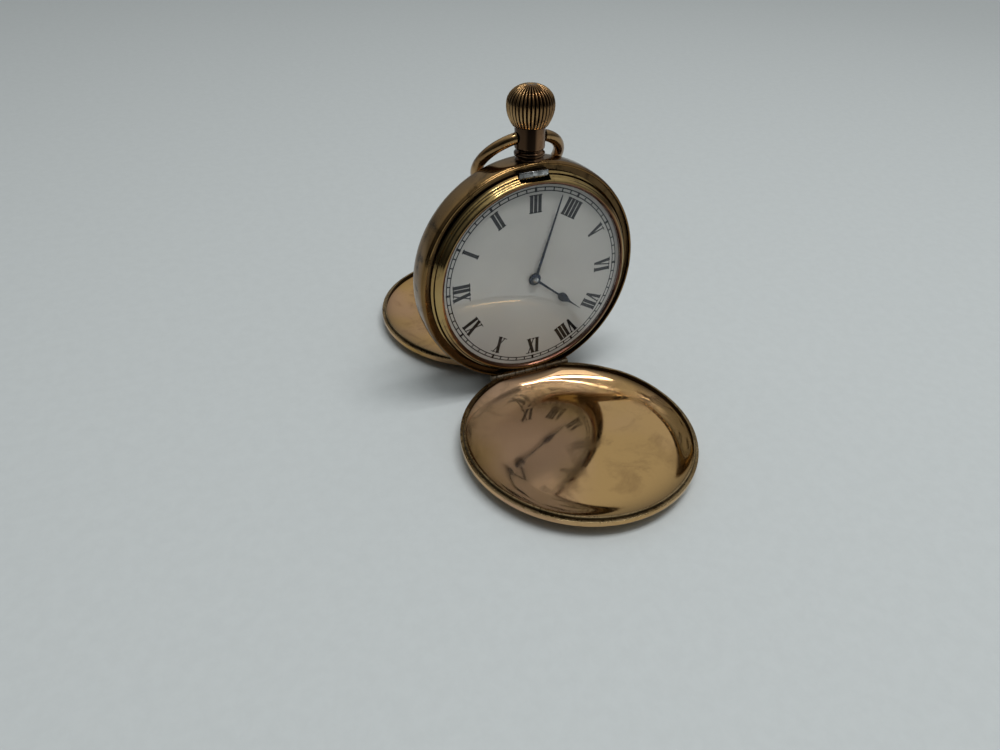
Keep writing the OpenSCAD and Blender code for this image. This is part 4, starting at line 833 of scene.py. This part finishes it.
def buildBow():
    pivot = Matrix.Translation((0, pendantSizes["pivot"], caseSizes["stemLine"]))
    pivot = pivot @ Matrix.Rotation(radians(-bowSizes["rest"]), 4, "X")
    ring, reach, wire = bowSizes["ring"], bowSizes["reach"], bowSizes["wire"]
    # the arc runs from one end below the pivots, round the far side, to the other
    ends = reach + bowSizes["drop"]
    edgeAngle = atan2(-ends, sqrt(ring ** 2 - ends ** 2))
    mesh = bmesh.new()
    rings = []
    steps, sides = bowSizes["steps"], bowSizes["sides"]
    for i in range(steps + 1):
        t = i / steps
        angle = edgeAngle + (pi - 2 * edgeAngle) * t
        nearEnd = min(t, 1 - t) * steps / 6
        radius = wire * (sqrt(max(0.0, 1 - (1 - nearEnd) ** 2)) * 0.35 + 0.65 if nearEnd < 1 else 1)
        loop = []
        for k in range(sides):
            a = 2 * pi * k / sides
            out = ring + radius * cos(a)
            point = Vector((out * cos(angle), reach + out * sin(angle), radius * sin(a)))
            if point.y < 2.5 and abs(point.x) < bowSizes["end"]:
                point.x = bowSizes["end"] if point.x > 0 else -bowSizes["end"]
            loop.append(mesh.verts.new(point))
        rings.append(loop)
    for low, high in zip(rings, rings[1:]):
        for k in range(sides):
            n = (k + 1) % sides
            mesh.faces.new((low[k], low[n], high[n], high[k]))
    mesh.faces.new(rings[0][::-1])
    mesh.faces.new(rings[-1])
    bmesh.ops.recalc_face_normals(mesh, faces=mesh.faces)
    finishPiece(makeObject("bowRing", mesh), "bow", crownGold, ["bow"], caseFrame @ pivot)


crownSizes = {"low": 31.1, "length": 7.7, "radius": 4.75, "flutes": 36, "depth": 0.5, "mouth": 3.15,
              "recess": 1.9}


def crownCurve():
    mouth, radius = crownSizes["mouth"] + 0.2, crownSizes["radius"]
    points = []
    for i in range(21):
        t = i / 40
        points.append((mouth + (radius - mouth) * sin(pi * t) ** 0.8, t))
    for i in range(1, 31):
        rise = sin(pi / 2 * i / 30)
        points.append((radius * sqrt(1 - rise ** 2.3 * 0.91), 0.5 + 0.5 * rise))
    return [Vector((r, crownSizes["low"] + crownSizes["length"] * t)) for r, t in points]


def crownRing(mesh, radius, level, around):
    turns = [2 * pi * k / around for k in range(around)]
    return [mesh.verts.new((radius * cos(a), radius * sin(a), level)) for a in turns]


def buildCrown():
    mesh = bmesh.new()
    around = crownSizes["flutes"] * 10
    curve = crownCurve()
    rings = []
    for j, point in enumerate(curve):
        along = (curve[min(j + 1, len(curve) - 1)] - curve[max(j - 1, 0)]).normalized()
        fade = min(1.0, j / 6 + 0.12, point.x / crownSizes["radius"] * 1.7)
        ring = []
        for k in range(around):
            a = 2 * pi * k / around
            sink = crownSizes["depth"] * fade * (1 - abs(cos(crownSizes["flutes"] * a / 2)) ** 0.8)
            r, z = point.x - along.y * sink, point.y + along.x * sink
            ring.append(mesh.verts.new((r * cos(a), r * sin(a), z)))
        rings.append(ring)
    # a small dimple on top and the recess that goes over the neck
    low, mouth = crownSizes["low"], crownSizes["mouth"]
    top, floor = low + crownSizes["length"], low + crownSizes["recess"]
    for r, z in ((1.05, top + 0.05), (0.75, top + 0.04), (0.62, top - 0.08), (0.3, top - 0.16)):
        rings.append(crownRing(mesh, r, z, around))
    inside = [crownRing(mesh, r, z, around) for r, z in ((mouth, low), (mouth, floor), (0.65, floor))]
    chain = inside[::-1] + rings
    for lower, upper in zip(chain, chain[1:]):
        for k in range(around):
            n = (k + 1) % around
            mesh.faces.new((lower[k], lower[n], upper[n], upper[k]))
    mesh.faces.new(chain[0][::-1])
    mesh.faces.new(chain[-1])
    bmesh.ops.recalc_face_normals(mesh, faces=mesh.faces)
    ball = makeObject("crownBall", mesh)
    finishPiece(ball, "crown", [crownGold, flutePaintedShade], ["crown"], stemFrame, sharp=50)
    # the flutes' valleys take the painted shade
    tintFaces(ball, stemFrame, 1, lambda r, z, a: r > 1.5 and abs(cos(crownSizes["flutes"] * a / 2)) < 0.5)


def buildCatch():
    left = -springCatch["shift"] - springCatch["length"] / 2
    low = (left, springCatch["inner"], springCatch["bottom"])
    high = (left + springCatch["length"], springCatch["inner"] + springCatch["width"], springCatch["top"])
    block = makeObject("catchHead", boxMesh(low, high, 0.09, 3))
    finishPiece(block, "catch", catchSteel, ["lock_catch"], caseFrame)


buildPendant()
buildBow()
buildCrown()
buildCatch()
print("pendant ready")

# Hands; the time shown is in minutes past twelve
handSizes = {"minute": 18.7, "hour": 15.0, "arm": 7.9, "spade": 9.2, "thick": 0.14, "minuteLevel": 0.5,
             "hourLevel": 0.2, "shown": 437.9}


def handObject(name, outline, level, turn, hub, body, node):
    thick = handSizes["thick"]
    blade = plateMesh(outline, 0, thick)
    boss = softened([(0, 0), (hub, 0), (hub, thick), (0, thick + 0.02)], 0.05, closed=False)
    whole = makeObject(name, merged([blade, latheMesh(boss, 64, False)]))
    bevel = whole.modifiers.new("bevel", "BEVEL")
    bevel.width = 0.035
    bevel.segments = 2
    bevel.limit_method = "ANGLE"
    bakeModifiers(whole)
    place = Matrix.Translation((0, 0, level)) @ Matrix.Rotation(turn, 4, "Z")
    finishPiece(whole, body, bluedSteel, [node], caseFrame @ place)


def buildHands():
    long = handSizes["minute"]
    half = [(0.9, 0.3), (long * 0.35, 0.26), (long * 0.7, 0.2), (long * 0.97, 0.12), (long, 0.04)]
    outline = half + [(x, -y) for x, y in half[::-1]]
    minuteTurn = radians(180 - 6 * (handSizes["shown"] % 60))
    handObject("minuteBlade", outline, handSizes["minuteLevel"], minuteTurn, 1.2, "minute", "minute_hand")
    arm, wide, tip = handSizes["arm"], handSizes["spade"], handSizes["hour"]
    half = [(1.0, 0.27), (arm - 0.5, 0.2), (arm - 0.15, 0.3), (arm + 0.15, 0.66), (arm + 0.55, 0.9),
            (wide, 0.97), (wide + 0.55, 0.86), (wide + 1.1, 0.6), (wide + 1.8, 0.33), (wide + 2.6, 0.18),
            (tip * 0.9, 0.1), (tip, 0.03)]
    outline = half + [(x, -y) for x, y in half[::-1]]
    hourTurn = radians(180 - 0.5 * handSizes["shown"])
    handObject("hourSpade", outline, handSizes["hourLevel"], hourTurn, 1.4, "hour", "hour_hand")


capSizes = {"radius": 0.62, "low": 0.6, "rim": 0.84, "top": 0.91}


def buildHubCap():
    radius, low = capSizes["radius"], capSizes["low"]
    profile = [(0, low), (radius, low), (radius, capSizes["rim"], 0.05), (0.3, 0.9), (0, capSizes["top"])]
    cap = makeObject("hubCap", latheMesh(softened(profile, 0.04, closed=False), 64, False))
    finishPiece(cap, "minute", catchSteel, (), caseFrame)


buildHands()
buildHubCap()
print("hands ready")

# Finish of the pieces that stay as they are
slotFinish = {
    "gold": crownGold, "rose_gold": lidGold, "glass": crystalGlass, "enamel": dialEnamel,
    "steel": movementSteel, "blued_steel": bluedSteel, "nickel": nickelPlate, "ruby": rubyJewel,
    "brass": gildedBrass,
}
slotOf = {part["node"]: part["material_slot"] for part in frame["record"]["subparts"]}
for label, node in nodes.items():
    node.data.materials.clear()
    node.data.materials.append(slotFinish[slotOf[label]])
for label in ("front_hinge_pin", "back_hinge_pin"):
    nodes[label].data.materials[0] = hingeSteel

# Floor and light
# haze is the strength of the floor's painted glow far from the watch
stageTone = {"floor": (0.51, 0.545, 0.548), "grain": 1.04, "world": (0.97, 1.0, 1.0), "haze": 0.27}


def buildStage():
    mesh = bmesh.new()
    bmesh.ops.create_grid(mesh, x_segments=1, y_segments=1, size=3.0)
    floor = makeObject("floorPlane", mesh)
    material, tree, shader = newMaterial("paleFloor")
    place = addNode(tree, "ShaderNodeTexCoord").outputs["Object"]
    grain = addRange(tree, noiseAt(tree, place, 350.0, 6.0, 0.7), 0.3, 0.7)
    tone = stageTone["floor"]
    lighter = tuple(value * stageTone["grain"] for value in tone)
    tree.links.new(addMix(tree, grain, (*tone, 1), (*lighter, 1)), shader.inputs["Base Color"])
    shader.inputs["Roughness"].default_value = 0.75
    # far from the watch the floor gets a painted glow, seen only by the camera, so that it runs into the wall
    away = addNode(tree, "ShaderNodeVectorMath", {"operation": "LENGTH"}, i0=place)
    haze = addRange(tree, away.outputs["Value"], 0.45, 1.4, 0.0, stageTone["haze"])
    seen = addNode(tree, "ShaderNodeLightPath").outputs["Is Camera Ray"]
    tree.links.new(addMath(tree, "MULTIPLY", haze, seen), shader.inputs["Emission Strength"])
    shader.inputs["Emission Color"].default_value = (*stageTone["world"], 1)
    floor.data.materials.append(material)


def areaLight(name, place, target, size, power):
    lamp = bpy.data.lights.new(name, "AREA")
    lamp.shape = "RECTANGLE"
    lamp.size, lamp.size_y = size
    lamp.energy = power
    holder = bpy.data.objects.new(name, lamp)
    bpy.context.scene.collection.objects.link(holder)
    holder.location = place
    holder.rotation_euler = (Vector(target) - Vector(place)).to_track_quat("-Z", "Y").to_euler()


lightSizes = {
    "base": 0.06, "above": 0.32, "behind": 0.15, "wall": 0.4, "height": 0.75, "side": 0.1,
    # name, place along y, length, width and power
    "strips": (("softNear", -0.24, 0.6, 0.24, 0.45), ("stripNear", -0.15, 0.55, 0.045, 1.7),
               ("stripFar", -0.03, 0.55, 0.045, 1.7)),
    # direction, cosines where the card is full and where it ends, and the light that it leaves
    "cards": (((-0.41, -0.76, 0.5), 0.95, 0.8, 0.12), ((-1.0, -0.15, 0.35), 0.92, 0.6, 0.25)),
}


def buildLights():
    world = bpy.data.worlds.new("softRoom")
    bpy.context.scene.world = world
    world.use_nodes = True
    tree = world.node_tree
    sky = tree.nodes["Background"]
    sky.inputs[0].default_value = (*stageTone["world"], 1)
    # the room is brightest overhead and behind the watch, and dim beside and in front of it
    aim = addNode(tree, "ShaderNodeTexCoord").outputs["Generated"]
    way = addNode(tree, "ShaderNodeSeparateXYZ", None, Vector=aim)
    glow = addMath(tree, "MULTIPLY", addRange(tree, way.outputs[2], 0.02, 0.75), lightSizes["above"])
    back = addMath(tree, "MULTIPLY", addRange(tree, way.outputs[1], -0.3, 0.65), lightSizes["behind"])
    total = addMath(tree, "ADD", addMath(tree, "ADD", glow, back), lightSizes["base"])
    # a dark card stands in front of the watch and another to its left
    for toward, full, end, left in lightSizes["cards"]:
        spread = addNode(tree, "ShaderNodeVectorMath", {"operation": "DOT_PRODUCT"}, i0=aim)
        spread.inputs[1].default_value = Vector(toward).normalized()
        kept = addRange(tree, spread.outputs["Value"], end, full, 1.0, left)
        total = addMath(tree, "MULTIPLY", total, kept)
    # the camera itself sees a plain pale wall past the floor's edge
    seen = addNode(tree, "ShaderNodeLightPath").outputs["Is Camera Ray"]
    wall = addMath(tree, "MULTIPLY", seen, lightSizes["wall"])
    tree.links.new(addMath(tree, "MAXIMUM", total, wall), sky.inputs[1])
    # a wide soft lamp and two thin strips overhead draw the pale band and the bright line along bezel and lid
    side = lightSizes["side"]
    for label, y, long, wide, power in lightSizes["strips"]:
        areaLight(label, (side, y, lightSizes["height"]), (side, y, 0), (long, wide), power)


buildStage()
buildLights()

# Camera: where it stands beside the case's middle, and how it looks, in millimetres and degrees
view = {"offset": (-67.55, -124.64, 82.24), "pitch": 37.47, "turn": -25.96, "roll": 2.81, "lens": 27.5}


def buildCamera():
    data = bpy.data.cameras.new("viewCamera")
    data.sensor_width = 36
    data.lens = view["lens"]
    data.clip_start = 0.005
    camera = bpy.data.objects.new("viewCamera", data)
    bpy.context.scene.collection.objects.link(camera)
    spot = caseCentre + Vector(view["offset"]) * mm
    turn = Matrix.Rotation(radians(view["turn"]), 4, "Z")
    tilt = Matrix.Rotation(radians(90 - view["pitch"]), 4, "X")
    roll = Matrix.Rotation(radians(view["roll"]), 4, "Z")
    camera.matrix_world = Matrix.Translation(spot) @ turn @ tilt @ roll
    bpy.context.scene.camera = camera


buildCamera()
bpy.context.scene.view_settings.view_transform = "Standard"
print("stage ready")
